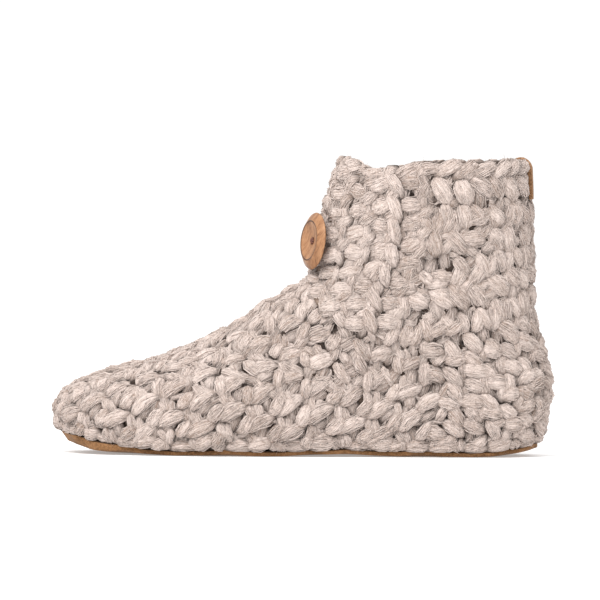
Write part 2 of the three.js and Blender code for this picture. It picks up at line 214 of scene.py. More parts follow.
# Section numbers round the wall at a height over the sole seam, with their turns and the way along them
def roundLine(height):
    heights = np.broadcast_to(height, len(turnGrid))
    line = np.array([np.interp(heights[j], roundField[:, j], sectionGrid) for j in range(len(turnGrid))])
    turns = np.linspace(0, 2 * np.pi, rounds["lineSteps"] + 1)
    line = np.interp(turns, np.append(turnGrid, 2 * np.pi), np.append(line, line[0]))
    points = formPoints(line, turns)
    return turns, line, points, lengthAlong(points)


# How fast the rounds climb, to stretch the stitches where rounds lie far apart
fieldUp = np.gradient(roundField, sectionGrid, axis=0)
fieldAround = np.gradient(np.pad(roundField, ((0, 0), (1, 1)), mode="wrap"), turnGrid[1], axis=1)[:, 1:-1]


def fieldSlopes(section, turn):
    row = np.rint(np.clip(section / collar, 0, 1) * (rounds["sectionSteps"] - 1)).astype(int)
    column = np.rint(turn / turnGrid[1]).astype(int) % rounds["turnSteps"]
    return fieldUp[row, column], fieldAround[row, column]


# A bundle of yarn, as seen from outside: middle, length, angle to the round, bow, width and thickness in mm,
# height of its back over the wall, and how wide its two ends still are
bundleNames = ("s", "r", "long", "angle", "bow", "wide", "thick", "lift", "tipA", "tipB")
footStitch = (
    (0, 0, 20.5, 30, 1.8, 8.4, 5.6, 2.7, 0.3, 0.4),
    (6.8, -4.6, 14.5, 46, -0.9, 6.8, 5.8, 3.5, 0.2, 0.3),
    (-5.0, -8.8, 10.5, 100, 0.3, 4.8, 3.8, 2.0, 0.8, 0.7),
    (-1.8, -9.4, 10.5, 95, 0.2, 4.6, 3.8, 1.9, 0.8, 0.7),
)
vampStitch = (
    (0, 0.4, 17.0, 18, 1.6, 8.4, 5.4, 2.6, 0.35, 0.35),
    (6.6, -3.4, 13.0, 66, -0.5, 6.6, 5.6, 3.3, 0.25, 0.35),
    (-5.0, -8.2, 10.5, 98, 0.2, 4.8, 3.8, 2.1, 0.8, 0.7),
    (-1.8, -8.8, 10.5, 94, 0.2, 4.6, 3.8, 2.0, 0.8, 0.7),
)
heelStitch = (
    (0, 0.5, 16.0, -8, 1.2, 8.2, 5.6, 3.1, 0.25, 0.3),
    (10.2, 0.8, 15.0, -48, 1.0, 7.8, 5.4, 2.9, 0.3, 0.25),
    (5.4, -4.6, 11.5, 52, 0.3, 6.2, 4.6, 2.0, 0.5, 0.4),
)
legStitch = (
    (0, 0.2, 18.5, -50, 0.8, 9.4, 5.8, 3.0, 0.35, 0.3),
    (5.0, 4.6, 12.0, 38, 0.3, 6.2, 4.6, 1.8, 0.5, 0.5),
    (0.6, 6.8, 10.0, 18, 0.2, 6.0, 4.2, 1.0, 0.6, 0.6),
)
veeStitch = (
    (-2.8, 0, 16.5, -62, 0.7, 7.6, 5.2, 2.7, 0.4, 0.3),
    (2.8, 0, 16.5, 62, -0.7, 7.6, 5.2, 2.8, 0.3, 0.4),
    (0.6, 6.8, 10.0, -16, 0.2, 6.0, 4.2, 1.0, 0.6, 0.6),
)
seamStitch = (
    (0, 1.0, 17.0, 15, 0.9, 9.0, 5.2, 2.6, 0.3, 0.5),
    (7.6, -0.4, 10.5, -56, 0.4, 5.4, 4.0, 2.0, 0.4, 0.9),
    (10.6, 0.4, 10.0, -84, 0.2, 5.2, 4.0, 1.8, 0.4, 0.9),
    (19.5, -0.8, 18.0, 12, 0.8, 7.0, 4.6, 1.9, 0.4, 0.4),
)
ridgeStitch = ((0, 0, 17.0, -68, 0.7, 6.4, 5.4, 3.4, 0.4, 0.3),)
barStitch = (
    (0, 0, 14.5, 4, -1.0, 9.0, 5.8, 3.1, 0.4, 0.4),
    (6.1, 5.3, 12.5, 47, 0.2, 6.8, 4.8, 2.2, 0.45, 0.5),
    (6.1, -0.4, 12.0, 94, 0.3, 6.0, 4.4, 1.5, 0.6, 0.6),
)
rimStitch = (
    (0, -5.6, 21.0, 24, 0.9, 7.4, 5.0, 2.0, 0.4, 0.35),
    (5.0, 1.0, 15.0, 12, 0.3, 6.4, 4.2, 1.3, 0.5, 0.5),
    (2.0, 6.5, 19.0, -24, -0.8, 7.4, 4.8, 1.7, 0.4, 0.4),
)
edgeStitch = (
    (0, 1.0, 16.5, -56, 0.6, 7.6, 5.0, 2.8, 0.45, 0.4),
    (3.5, 6.5, 13.0, -74, 0.3, 6.6, 4.4, 2.0, 0.5, 0.5),
)
insideStitch = (
    (0, 0, 17.0, 14, 0.8, 9.4, 4.4, 2.2, 0.5, 0.5),
    (1.5, 5.4, 15.0, -48, 0.5, 8.4, 4.2, 1.7, 0.5, 0.5),
)
yarn = {
    "sides": 8, "sink": 2.0, "dive": 2.4, "swell": 0.85, "ridge": 0.07, "ringRidge": 0.5, "twist": 26,
    "twistJitter": 0.5, "jitter": 0.45, "angleJitter": 5.5, "sizeJitter": 0.07, "liftJitter": 0.25,
    "wander": 0.6, "stitchTone": 0.4, "bundleTone": 0.5, "ringTone": 0.25, "coreShade": -1.3, "paintedShade": 1.8,
    "base": -1.7, "vampBase": -2.9, "toeShare": 0.2, "shaftBase": -2.5, "seamBase": -1.0, "besideBase": -0.8,
    "stretch": (0.92, 1.3), "backing": 5.2, "open": 99, "uStart": 60, "vStart": 40,
}
wallEdge = {"margin": 0.05, "over": 0.25}  # in sections, at the sole seam and the collar
ringPlaces = np.array((0, 0.09, 0.26, 0.5, 0.74, 0.91, 1))
ringEnds = np.abs(2 * ringPlaces - 1)


# Places on the wall where stitches are worked, each with its own directions along and up the round
class WallAnchors:
    def __init__(self, section, turn, slope, base=0.0, inwards=False):
        self.section, self.turn = np.asarray(section, float), np.asarray(turn, float)
        self.base, self.inwards = np.broadcast_to(np.asarray(base, float), self.section.shape), inwards
        within = np.clip(self.section, wallEdge["margin"], collar - wallEdge["margin"])
        up, around = formSlopes(within, self.turn)
        along = -unit(around + up * np.asarray(slope, float)[:, None])
        rise = np.cross(unit(np.cross(up, around)), along)
        dots = [(around * along).sum(1), (up * along).sum(1), (around * rise).sum(1), (up * rise).sum(1)]
        size = dots[0] * dots[3] - dots[1] * dots[2]
        self.back = np.array([[dots[3], -dots[1]], [-dots[2], dots[0]]]) / size
        climbUp, climbAround = fieldSlopes(self.section, self.turn)
        climb = climbUp * self.back[1, 1] + climbAround * self.back[0, 1]
        self.stretch = np.clip(1 / np.maximum(climb, 1e-3), *yarn["stretch"])

    def lay(self, which, s, r, height):
        back = self.back[:, :, which]
        turn = self.turn[which][:, None] + back[0, 0][:, None] * s + back[0, 1][:, None] * r
        section = self.section[which][:, None] + back[1, 0][:, None] * s + back[1, 1][:, None] * r
        section = np.clip(section, -wallEdge["over"], collar + wallEdge["over"])
        normal = formNormals(section, turn)
        facing = -normal if self.inwards else normal
        ground = formPoints(section, turn) + normal * self.base[which][:, None, None]
        return ground + facing * height[..., None], facing

    # How far in from a bundle's middle the back of the wall is
    def room(self, which, height):
        backing = yarn["open"] if self.inwards else yarn["backing"]
        return height + self.base[which][:, None] + backing


# The same on the collar's rounded edge: r runs from the outside (minus) over the crest to the inside
rim = {
    "radius": 2.8, "drop": 2.0, "pitch": 10.6, "tabRoom": 12, "overBand": 2.4, "bandFrom": (-22, -14),
    "bandTo": (-68, -56), "backRise": 1.4, "backDeg": (110, 150), "innerFall": 1.7, "innerFrom": (0.1, 0.7),
}


class RimAnchors:
    def __init__(self):
        self.turns = np.linspace(0, 2 * np.pi, rounds["lineSteps"] + 1)
        self.way = lengthAlong(formPoints(collar, self.turns))
        total = self.way[-1]
        count = round(total / rim["pitch"])
        starts = total * (np.arange(count) + 0.5) / count
        fromBack = np.abs((starts + total / 2) % total - total / 2)
        self.starts = starts[fromBack > rim["tabRoom"]]

    def lay(self, which, s, r, height):
        turn = np.interp((self.starts[which][:, None] - s) % self.way[-1], self.way, self.turns)
        normal = formNormals(np.full(turn.shape, collar), turn)
        lean = np.clip(r / rim["radius"], -np.pi / 2, np.pi / 2)
        hang = np.maximum(np.abs(r) - rim["radius"] * np.pi / 2, 0)
        up = np.array([0.0, 0.0, 1.0])
        facing = -np.sin(lean)[..., None] * normal + np.cos(lean)[..., None] * up
        degrees = np.degrees(np.pi - turn)
        overBand = smooth(degrees, *rim["bandFrom"]) * smooth(-degrees, *rim["bandTo"])
        outward = rim["overBand"] * overBand - last["wall"] / 2  # the band's top edge is in the chain
        level = rim["backRise"] * smooth(np.abs(degrees), *rim["backDeg"]) - rim["drop"]
        level = level - rim["innerFall"] * smooth(-np.sin(turn), *rim["innerFrom"])
        core = formPoints(collar, turn) + normal * outward[..., None] + up * level[..., None]
        return core + facing * (rim["radius"] + height)[..., None] - up * hang[..., None], facing

    def room(self, which, height):
        return height + yarn["open"]


# The middle line of one bundle: sideways and up in the round's plane, height over the wall and half width
def bundleLine(bundle, stretch=1.0):
    b = dict(zip(bundleNames, bundle))
    t = ringPlaces
    grow = 1 + yarn["sizeJitter"] * rng.normal(size=3)
    angle = math.radians(b["angle"] + yarn["angleJitter"] * rng.normal())
    reach = np.array([math.cos(angle), math.sin(angle) * stretch]) * b["long"] * grow[0]
    long = np.linalg.norm(reach)
    direction = reach / long
    wide = b["wide"] * grow[1] * math.sqrt(stretch)
    middle = np.array([b["s"], b["r"] * stretch]) + yarn["jitter"] * rng.normal(size=2)
    tip = b["tipA"] + (b["tipB"] - b["tipA"]) * t
    half = wide / 2 * (tip + (1 - tip) * np.sin(np.pi * t) ** yarn["swell"])
    flat = b["thick"] * grow[2] / wide
    dive = ringEnds ** yarn["dive"]
    raised = b["lift"] + yarn["liftJitter"] * rng.normal()
    height = raised * (1 - dive) - yarn["sink"] * dive - half * flat
    run = (t - 0.5) * long
    side = b["bow"] * np.sin(np.pi * t) + yarn["wander"] * rng.normal() * np.sin(2 * np.pi * t)
    return (middle[0] + direction[0] * run - direction[1] * side,
            middle[1] + direction[1] * run + direction[0] * side, height, half), flat


# Collects the bundles of many stitches and lays them on their anchors
class Skein:
    def __init__(self):
        self.which, self.lines, self.flat, self.tones = [], [], [], []

    def add(self, anchor, stitch, stretch=1.0):
        tone = yarn["stitchTone"] * rng.normal()
        for bundle in stitch:
            line, flat = bundleLine(bundle, stretch)
            self.which.append(anchor)
            self.lines.append(line)
            self.flat.append(flat)
            self.tones.append(tone + yarn["bundleTone"] * rng.normal())

    def tubes(self, anchors):
        s, r, height, half = (np.array(column) for column in zip(*self.lines))
        which, flat = np.array(self.which), np.array(self.flat)
        points, facing = anchors.lay(which, s, r, height)
        points[..., 2] = np.maximum(points[..., 2], soleTop(points[..., 0]) + half)
        twist = math.radians(yarn["twist"]) * (1 + yarn["twistJitter"] * rng.normal(size=len(flat)))
        return {"points": points, "facing": facing, "half": half, "flat": flat, "height": height,
                "tones": np.array(self.tones), "twist": twist, "room": anchors.room(which, height)}


# One kind of stitch at every anchor
def sameStitches(anchors, count, stitch):
    skein = Skein()
    for index in range(count):
        skein.add(index, stitch)
    return skein.tubes(anchors)


# Tubes of round section that aren't twisted
def roundTubes(points, facing, half, height, tones):
    count = len(points)
    return {"points": points, "facing": facing, "half": half, "flat": np.ones(count), "height": height,
            "tones": tones, "twist": np.zeros(count)}


# Directions round a line of points: across it along the wall, and away from the wall
def lineFrames(points, facing):
    tangent = unit(np.gradient(points, axis=1))
    across = unit(np.cross(facing, tangent))
    return tangent, across, np.cross(tangent, across)


# Directions round each tube at some angles from its outer side, squashed to its section
def tubeRing(tubes, angle):
    tangent, across, outward = lineFrames(tubes["points"], tubes["facing"])
    turned = angle + (tubes["twist"][:, None] * (np.linspace(0, 1, angle.shape[1]) - 0.5))[..., None]
    wide, tall = tubes["half"], tubes["half"] * tubes["flat"][:, None]
    ring = (np.sin(turned) * wide[..., None])[..., None] * across[:, :, None]
    ring = ring + (np.cos(turned) * tall[..., None])[..., None] * outward[:, :, None]
    return ring, np.cos(turned) * tall[..., None]


# Values between the rings of each tube, at shares of its length
def alongTubes(values, share):
    at = np.interp(share, ringPlaces, np.arange(len(ringPlaces)))
    low = np.minimum(at.astype(int), len(ringPlaces) - 2)
    row = np.arange(len(values))[:, None]
    part = (at - low).reshape(*at.shape, *[1] * (values.ndim - 2))
    return values[row, low] * (1 - part) + values[row, low + 1] * part


def joinTubes(sets):
    return {key: np.concatenate([tubes[key] for tubes in sets]) for key in sets[0]}


def addObject(name, data):
    obj = bpy.data.objects.new(name, data)
    bpy.context.scene.collection.objects.link(obj)
    return obj


# One mesh of closed tubes. The fibres follow each tube: u runs along it and v round it, in millimetres
def tubeMesh(name, tubes, sides, ridge=0.0):
    points, half = tubes["points"], tubes["half"]
    count, rings = half.shape
    angle = np.broadcast_to(-2 * np.pi * np.arange(sides) / sides, (count, rings, sides))
    ring, rise = tubeRing(tubes, angle)
    ridges = rng.normal(size=(count, 1, sides, 1))
    ridges = ridges + yarn["ringRidge"] * rng.normal(size=(count, rings, sides, 1))
    verts = points[:, :, None] + ring * (1 + ridge * ridges)
    if "room" in tubes:  # no bundle comes out at the back of the wall
        through = np.minimum(rise + tubes["room"][..., None], 0)
        verts = verts - through[..., None] * tubes["facing"][:, :, None]
    index = np.arange(count * rings * sides).reshape(count, rings, sides)
    nextSide = np.roll(index, -1, 2)
    quads = np.stack([index[:, :-1], nextSide[:, :-1], nextSide[:, 1:], index[:, 1:]], -1).reshape(-1, 4)
    caps = np.concatenate([index[:, 0, ::-1], index[:, -1]])
    mesh = bpy.data.meshes.new(name)
    mesh.vertices.add(verts.size // 3)
    mesh.vertices.foreach_set("co", place(verts.reshape(-1, 3)).ravel())
    mesh.loops.add(quads.size + caps.size)
    mesh.loops.foreach_set("vertex_index", np.concatenate([quads.ravel(), caps.ravel()]).astype(np.int32))
    mesh.polygons.add(len(quads) + len(caps))
    starts = np.concatenate([4 * np.arange(len(quads)), quads.size + sides * np.arange(len(caps))])
    mesh.polygons.foreach_set("loop_start", starts.astype(np.int32))
    mesh.polygons.foreach_set("use_smooth", np.ones(len(starts), bool))
    mesh.update(calc_edges=True)
    steps = np.linalg.norm(np.diff(points, axis=1), axis=2)
    along = np.concatenate([np.zeros((count, 1)), np.cumsum(steps, 1)], 1)
    along = along + yarn["uStart"] * rng.random(count)[:, None]
    girth = 2 * np.pi * half.mean(1)[:, None, None]
    shiftRound = yarn["vStart"] * rng.random(count)[:, None, None]
    u = np.broadcast_to(along[:, :, None], index.shape)
    v = np.broadcast_to(shiftRound + girth * np.arange(sides) / sides, index.shape)
    vNext = np.broadcast_to(shiftRound + girth * (np.arange(sides) + 1) / sides, index.shape)
    quadU = np.stack([u[:, :-1], u[:, :-1], u[:, 1:], u[:, 1:]], -1).reshape(-1)
    quadV = np.stack([v[:, :-1], vNext[:, :-1], vNext[:, 1:], v[:, 1:]], -1).reshape(-1)
    capU = np.concatenate([u[:, 0, ::-1], u[:, -1]]).reshape(-1)
    capV = np.concatenate([v[:, 0, ::-1], v[:, -1]]).reshape(-1)
    layer = mesh.uv_layers.new(name="ply")
    uv = np.stack([np.concatenate([quadU, capU]), np.concatenate([quadV, capV])], -1)
    layer.data.foreach_set("uv", uv.ravel().astype(np.float32))
    # Painted shade: how deep each vertex lies among the bundles, which the yarn's material darkens towards a
    # dark colour
    paintedShade = 1 - smooth(tubes["height"][..., None] + rise, -yarn["paintedShade"], yarn["paintedShade"])
    tone = np.broadcast_to(tubes["tones"][:, None, None], paintedShade.shape)
    tone = tone + yarn["ringTone"] * rng.normal(size=(count, rings, 1))
    for label, values in (("paintedShade", paintedShade), ("tone", tone)):
        attribute = mesh.attributes.new(label, "FLOAT", "POINT")
        attribute.data.foreach_set("value", values.astype(np.float32).ravel())
    print(name, count, "tubes,", len(quads) * 2 + len(caps) * (sides - 2), "triangles")
    return addObject(name, mesh)


# Shading: the streaks of the fibres are a node group in the yarn's material
def addNode(tree, kind, **inputs):
    node = tree.nodes.new(kind)
    for key, value in inputs.items():
        if key in node.inputs:
            node.inputs[key].default_value = value
        else:
            setattr(node, key, value)
    return node


def mathNode(tree, operation, first, second, third=None):
    node = addNode(tree, "ShaderNodeMath", operation=operation)
    for socket, value in zip(node.inputs, (first, second, third)):
        if isinstance(value, bpy.types.NodeSocket):
            tree.links.new(value, socket)
        elif value is not None:
            socket.default_value = value
    return node.outputs[0]


def setInputs(node, values):
    for key, value in values.items():
        node.inputs[key].default_value = value


def rangeNode(tree, value, low, high, newLow=0.0, newHigh=1.0):
    node = addNode(tree, "ShaderNodeMapRange")
    setInputs(node, {"From Min": low, "From Max": high, "To Min": newLow, "To Max": newHigh})
    tree.links.new(value, node.inputs["Value"])
    return node.outputs["Result"]


def noiseNode(tree, vector, stretch, detail, roughness=0.55, distortion=0.0):
    mapping = addNode(tree, "ShaderNodeMapping", Scale=stretch)
    noise = addNode(tree, "ShaderNodeTexNoise", Scale=1.0, Detail=detail, Roughness=roughness,
                    Distortion=distortion)
    tree.links.new(vector, mapping.inputs["Vector"])
    tree.links.new(mapping.outputs[0], noise.inputs["Vector"])
    return noise.outputs["Fac"]


def newGroup(name, sockets):
    group = bpy.data.node_groups.new(name, "ShaderNodeTree")
    for label, kind, way in sockets:
        group.interface.new_socket(name=label, socket_type="NodeSocket" + kind, in_out=way)
    return group, addNode(group, "NodeGroupInput").outputs, addNode(group, "NodeGroupOutput").inputs


# Each noise here and below is its stretch, detail, roughness and distortion
fibre = {"fine": ((0.2, 1.9, 1.0), 2.0, 0.6, 0.25), "broad": ((0.07, 0.62, 1.0), 1.0), "fineShare": 0.6,
         "low": 0.38, "high": 0.62}


def makeFibreGroup():
    group, source, target = newGroup("fibreStreaks", (
        ("Vector", "Vector", "INPUT"), ("Streak", "Float", "OUTPUT")))
    fine = noiseNode(group, source["Vector"], *fibre["fine"])
    broad = noiseNode(group, source["Vector"], *fibre["broad"])
    broadPart = mathNode(group, "MULTIPLY", broad, 1 - fibre["fineShare"])
    mixed = mathNode(group, "MULTIPLY_ADD", fine, fibre["fineShare"], broadPart)
    group.links.new(rangeNode(group, mixed, fibre["low"], fibre["high"]), target["Streak"])
    return group


fibreGroup = makeFibreGroup()


def newMaterial(name):
    material = bpy.data.materials.new(name)
    material.use_nodes = True
    tree = material.node_tree
    return material, tree, tree.nodes["Principled BSDF"]


def objectCoords(tree):
    return addNode(tree, "ShaderNodeTexCoord").outputs["Object"]


def colourRamp(tree, value, stops, colours):
    ramp = addNode(tree, "ShaderNodeValToRGB")
    while len(ramp.color_ramp.elements) < len(stops):
        ramp.color_ramp.elements.new(0.5)
    for element, position, colour in zip(ramp.color_ramp.elements, stops, colours):
        element.position, element.color = position, (*colour, 1)
    tree.links.new(value, ramp.inputs[0])
    return ramp.outputs[0]


def mixColours(tree, share, first, second):
    mix = addNode(tree, "ShaderNodeMix", data_type="RGBA")
    tree.links.new(share, mix.inputs[0])
    for socket, value in ((mix.inputs[6], first), (mix.inputs[7], second)):
        if isinstance(value, bpy.types.NodeSocket):
            tree.links.new(value, socket)
        else:
            socket.default_value = (*value, 1)
    return mix.outputs[2]


def addBump(tree, shader, height, strength, distance):
    bump = addNode(tree, "ShaderNodeBump", Strength=strength, Distance=distance)
    tree.links.new(height, bump.inputs["Height"])
    tree.links.new(bump.outputs[0], shader.inputs["Normal"])


# One noise gives matted or twisted fibres both their colour and their bump
def makeMatted(name, look, dark, light):
    material, tree, shader = newMaterial(name)
    noise = noiseNode(tree, objectCoords(tree), *look["noise"])
    tree.links.new(colourRamp(tree, noise, look["stops"], (dark, light)), shader.inputs["Base Color"])
    addBump(tree, shader, noise, *look["bump"])
    setInputs(shader, look["finish"])
    return material


woolLook = {
    "colours": ((0.29, 0.214, 0.175), (0.627, 0.523, 0.472), (0.672, 0.567, 0.515)),
    "stops": (0.05, 0.5, 0.95), "gap": (0.04, 0.023, 0.016), "shadePower": 1.85,  # painted shade between the bundles
    "tone": 0.105, "streak": 0.44, "lint": 0.8,
    "lintNoise": ((1.3, 2.6, 1.0), 1.0), "lintBump": 0.4, "bump": (1.0, 0.0006),
    "finish": {"Roughness": 0.95, "Specular IOR Level": 0.15, "Sheen Weight": 0.1, "Sheen Roughness": 0.6,
               "Sheen Tint": (1, 0.96, 0.92, 1)},
}


def makeWool(name, look):
    material, tree, shader = newMaterial(name)
    uv = addNode(tree, "ShaderNodeUVMap", uv_map="ply").outputs[0]
    streaks = addNode(tree, "ShaderNodeGroup", node_tree=fibreGroup)
    tree.links.new(uv, streaks.inputs["Vector"])
    tone = addNode(tree, "ShaderNodeAttribute", attribute_name="tone").outputs["Fac"]
    paintedShade = addNode(tree, "ShaderNodeAttribute", attribute_name="paintedShade").outputs["Fac"]
    lint = noiseNode(tree, uv, *look["lintNoise"])
    middle = 0.5 - 0.5 * look["streak"] - 0.5 * look["lint"]
    value = mathNode(tree, "MULTIPLY_ADD", tone, look["tone"], middle)
    value = mathNode(tree, "MULTIPLY_ADD", streaks.outputs["Streak"], look["streak"], value)
    value = mathNode(tree, "MULTIPLY_ADD", lint, look["lint"], value)
    colour = colourRamp(tree, value, look["stops"], look["colours"])
    # Painted shade: the colour turns to the dark gap colour where the yarn lies deep between the bundles
    shade = mathNode(tree, "POWER", paintedShade, look["shadePower"])
    tree.links.new(mixColours(tree, shade, colour, look["gap"]), shader.inputs["Base Color"])
    height = mathNode(tree, "MULTIPLY_ADD", lint, look["lintBump"], streaks.outputs["Streak"])
    addBump(tree, shader, height, *look["bump"])
    setInputs(shader, look["finish"])
    return material


woolYarn = makeWool("woolYarn", woolLook)


def finishPiece(obj, material, node):
    obj.data.materials.append(material)
    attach(obj, "root")
    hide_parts(node)
    return obj


# Where the stitches of the wall change: brick-laid slanting clusters on the foot, level puffs on the heel,
# and rounds of legs and vees on the shaft
zones = {
    "ankleZ": 63, "ankleX": 112, "heelX": 72, "vampZ": (34, 60), "deepZ": (24, 40), "toeX": (60, 95),
    "footWidth": 31.5, "footFirst": 8.4, "footPitch": 7.65, "footMark": 170, "footClimb": 0.117,
    "heelWidth": 21, "seamWidth": 31.5, "seamHeight": 4.6,
    "shaftWidth": 10.6, "shaftTop": 12.4, "shaftPitch": 13.6, "shaftMark": 62, "shaftClimb": 0.22,
    "climbRows": 5, "ridgeRoom": -9, "tabHalf": 11, "tabX": 60, "tabZ": 133,
}
bandEdge = np.array(((6.1, 86), (7, 78), (8, 71), (9, 69), (10, 69), (12, 62)), float)
band = {
    "freeDeg": -17, "frontSection": 7.9, "frontDeg": 22, "marginUp": 0.03, "gap": 0.5, "base": 1.0,
    "slab": 0.9, "inset": 0.3, "sideInset": 0.04, "steps": 40, "levelDeg": (25, 60),
    "topRise": 1.6, "topSections": (10, 11.2), "footFall": 2.4, "footSections": (8.2, 9.4),
    "bulge": 5.0, "bulgeDeg": 20, "bulgeHeight": 116, "bulgeNear": 3, "bulgeFar": 34,
}


def bandEdgeDeg(section):
    return spline(bandEdge[:, 1], np.interp(section, bandEdge[:, 0], np.arange(len(bandEdge))))


def bandStart(degrees):
    share = smooth(degrees, band["frontDeg"], bandEdge[0, 1])
    return band["frontSection"] + (bandEdge[0, 0] - band["frontSection"]) * share


def underBand(section, turn, margin):
    degrees = np.degrees(np.pi - turn)
    return (degrees > band["freeDeg"] + margin) & (degrees < bandEdgeDeg(section) - margin) & (
        section > bandStart(degrees) + band["marginUp"] * margin)


def underTab(points):
    behind = (points[:, 2] > zones["tabZ"]) & (points[:, 0] < zones["tabX"])
    return behind & (np.abs(points[:, 1]) < zones["tabHalf"])


# Places along one round, spaced by a width that may change on the way and counted from a length along each
# side, so that the rounds stay in step. A round may climb towards the heel, and ends where it meets the seam
def alongRound(height, widthOf, keep, phase, mark, climb=0.0):
    turns, level, points, way = roundLine(height)
    every = rounds["lineSteps"] // rounds["turnSteps"]
    heights = height + climb * (mark - points[:-1:every, 0])
    turns, line, points, way = roundLine(heights)
    width = widthOf(points)
    steps = np.diff(way) * 2 / (width[1:] + width[:-1])
    counted = np.append(0, np.cumsum(steps))
    middle = len(turns) // 2
    outer, inner = slice(0, middle + 1), slice(middle, None)
    outerMark = np.interp(mark, points[outer, 0], counted[outer])
    innerMark = np.interp(-mark, -points[inner, 0], counted[inner])
    counted = counted + phase - np.where(turns < np.pi, outerMark, innerMark)
    slope = np.gradient(level, turns)
    at = np.flatnonzero(np.diff(np.floor(counted)) == 1) + 1
    heights = np.interp(turns, turnGrid, heights)
    at = at[(heights[at] > zones["footFirst"]) | (climb == 0)]
    kept = keep(points[at]) & ~underBand(line[at], turns[at], zones["ridgeRoom"]) & ~underTab(points[at])
    return [(line[i], turns[i], slope[i]) for i in at[kept]]


def onShaft(points):
    return (points[:, 2] > zones["ankleZ"]) & (points[:, 0] < zones["ankleX"])


def onHeel(points):
    return ~onShaft(points) & (points[:, 0] < zones["heelX"])


def workWall():
    found = {"foot": [], "heel": [], "shaft": [], "seam": []}
    footWidth = lambda points: np.where(onHeel(points), zones["heelWidth"], zones["footWidth"])
    onFoot = lambda points: ~onHeel(points) & ~onShaft(points)
    for row, height in enumerate(np.arange(-zones["footPitch"], wallHeight, zones["footPitch"])):
        way = (0.5 * (row % 2), zones["footMark"], zones["footClimb"])
        found["heel"] += alongRound(height, footWidth, onHeel, *way)
        found["foot"] += alongRound(height, footWidth, onFoot, *way)
    shaftWidth = lambda points: np.full(len(points), zones["shaftWidth"])
    shaftLow = zones["ankleZ"] - zones["shaftPitch"]
    for row, height in enumerate(np.arange(wallHeight - zones["shaftTop"], shaftLow, -zones["shaftPitch"])):
        climb = zones["shaftClimb"] * float(smooth(row, 0, zones["climbRows"]))
        way = (0.5 * (row % 2), zones["shaftMark"], climb)
        found["shaft"] += [(*where, row) for where in alongRound(height, shaftWidth, onShaft, *way)]
    seamWidth = lambda points: np.full(len(points), zones["seamWidth"])
    found["seam"] = alongRound(zones["seamHeight"], seamWidth, lambda p: p[:, 2] >= 0, 0.5, zones["footMark"])
    return found


def blendStitch(first, second, share):
    return np.array(first) + (np.array(second) - np.array(first)) * share


# The same stitch worked less evenly: each bundle turned by some degrees and moved by some millimetres
looseness = {"heel": (20, 1.2), "shaft": (17, 1.5), "fill": (25, 0.0)}


def looseStitch(stitch, degrees, way):
    loose = np.array(stitch, float)
    loose[:, bundleNames.index("angle")] += degrees * rng.normal(size=len(loose))
    loose[:, :2] += way * rng.normal(size=(len(loose), 2))
    return loose


stitchPlaces = workWall()
outerTubes = {}


# The bundle itself is painted darker, as the shade of the fibres on it
def coreMesh(name, tubes):
    return tubeMesh(name, {**tubes, "tones": tubes["tones"] + yarn["coreShade"]}, yarn["sides"], yarn["ridge"])


def workPiece(name, places, stitchAt, node="upper", base=yarn["base"], stretched=True):
    columns = np.array(places).T
    anchors, skein = WallAnchors(*columns[:3], base), Skein()
    for index in range(len(places)):
        skein.add(index, stitchAt(*columns[:, index]), anchors.stretch[index] if stretched else 1.0)
    outerTubes[name] = skein.tubes(anchors)
    return finishPiece(coreMesh(name, outerTubes[name]), woolYarn, node)


def footStitchAt(section, turn, slope):
    return blendStitch(footStitch, vampStitch, smooth(formPoints(section, turn)[2], *zones["vampZ"]))


def heelStitchAt(section, turn, slope):
    return looseStitch(heelStitch, *looseness["heel"])


def shaftStitchAt(section, turn, slope, row):
    return looseStitch(veeStitch if row % 2 else legStitch, *looseness["shaft"])


# The stitches sit deeper on the top of the foot
def footBase(places):
    section, turn = np.array(places)[:, :2].T
    points = formPoints(section, turn)
    lessAtToe = yarn["toeShare"] * smooth(points[:, 0], *zones["toeX"])
    deeper = smooth(points[:, 2], *zones["deepZ"]) * (1 - lessAtToe)
    return yarn["base"] + (yarn["vampBase"] - yarn["base"]) * deeper


footOuter = [where for where in stitchPlaces["foot"] if where[1] < np.pi]
footInner = [where for where in stitchPlaces["foot"] if where[1] >= np.pi]
workPiece("footStitchesOuter", footOuter, footStitchAt, base=footBase(footOuter))
workPiece("footStitchesInner", footInner, footStitchAt, base=footBase(footInner))
workPiece("heelStitches", stitchPlaces["heel"], heelStitchAt)
workPiece("shaftStitches", stitchPlaces["shaft"], shaftStitchAt, base=yarn["shaftBase"])
workPiece("seamStitches", stitchPlaces["seam"], lambda *where: seamStitch, base=yarn["seamBase"],
          stretched=False)


# Low bundles where the stitches leave the wall bare: the barest spot first, and none close to another
fillStitch = ((0, 0, 13.5, 62, 0.3, 7.6, 4.6, 0.4, 0.5, 0.45),)
bare = {
    "first": 5, "step": 3.4, "below": 6, "clear": 0.5, "apart": 6.0, "ground": 0.8, "wallMargin": -2,
    "bandClear": -0.9, "bandGround": 1.5, "bandMargin": 1,
    "points": np.linspace(0.12, 0.88, 9), "above": -0.6, "buried": -20, "some": 40,
    "besideBand": 1.7, "besideMargin": -14, "onToe": 1.5, "toeFacing": (0.72, 0.9), "toeX": (30, 60),
}


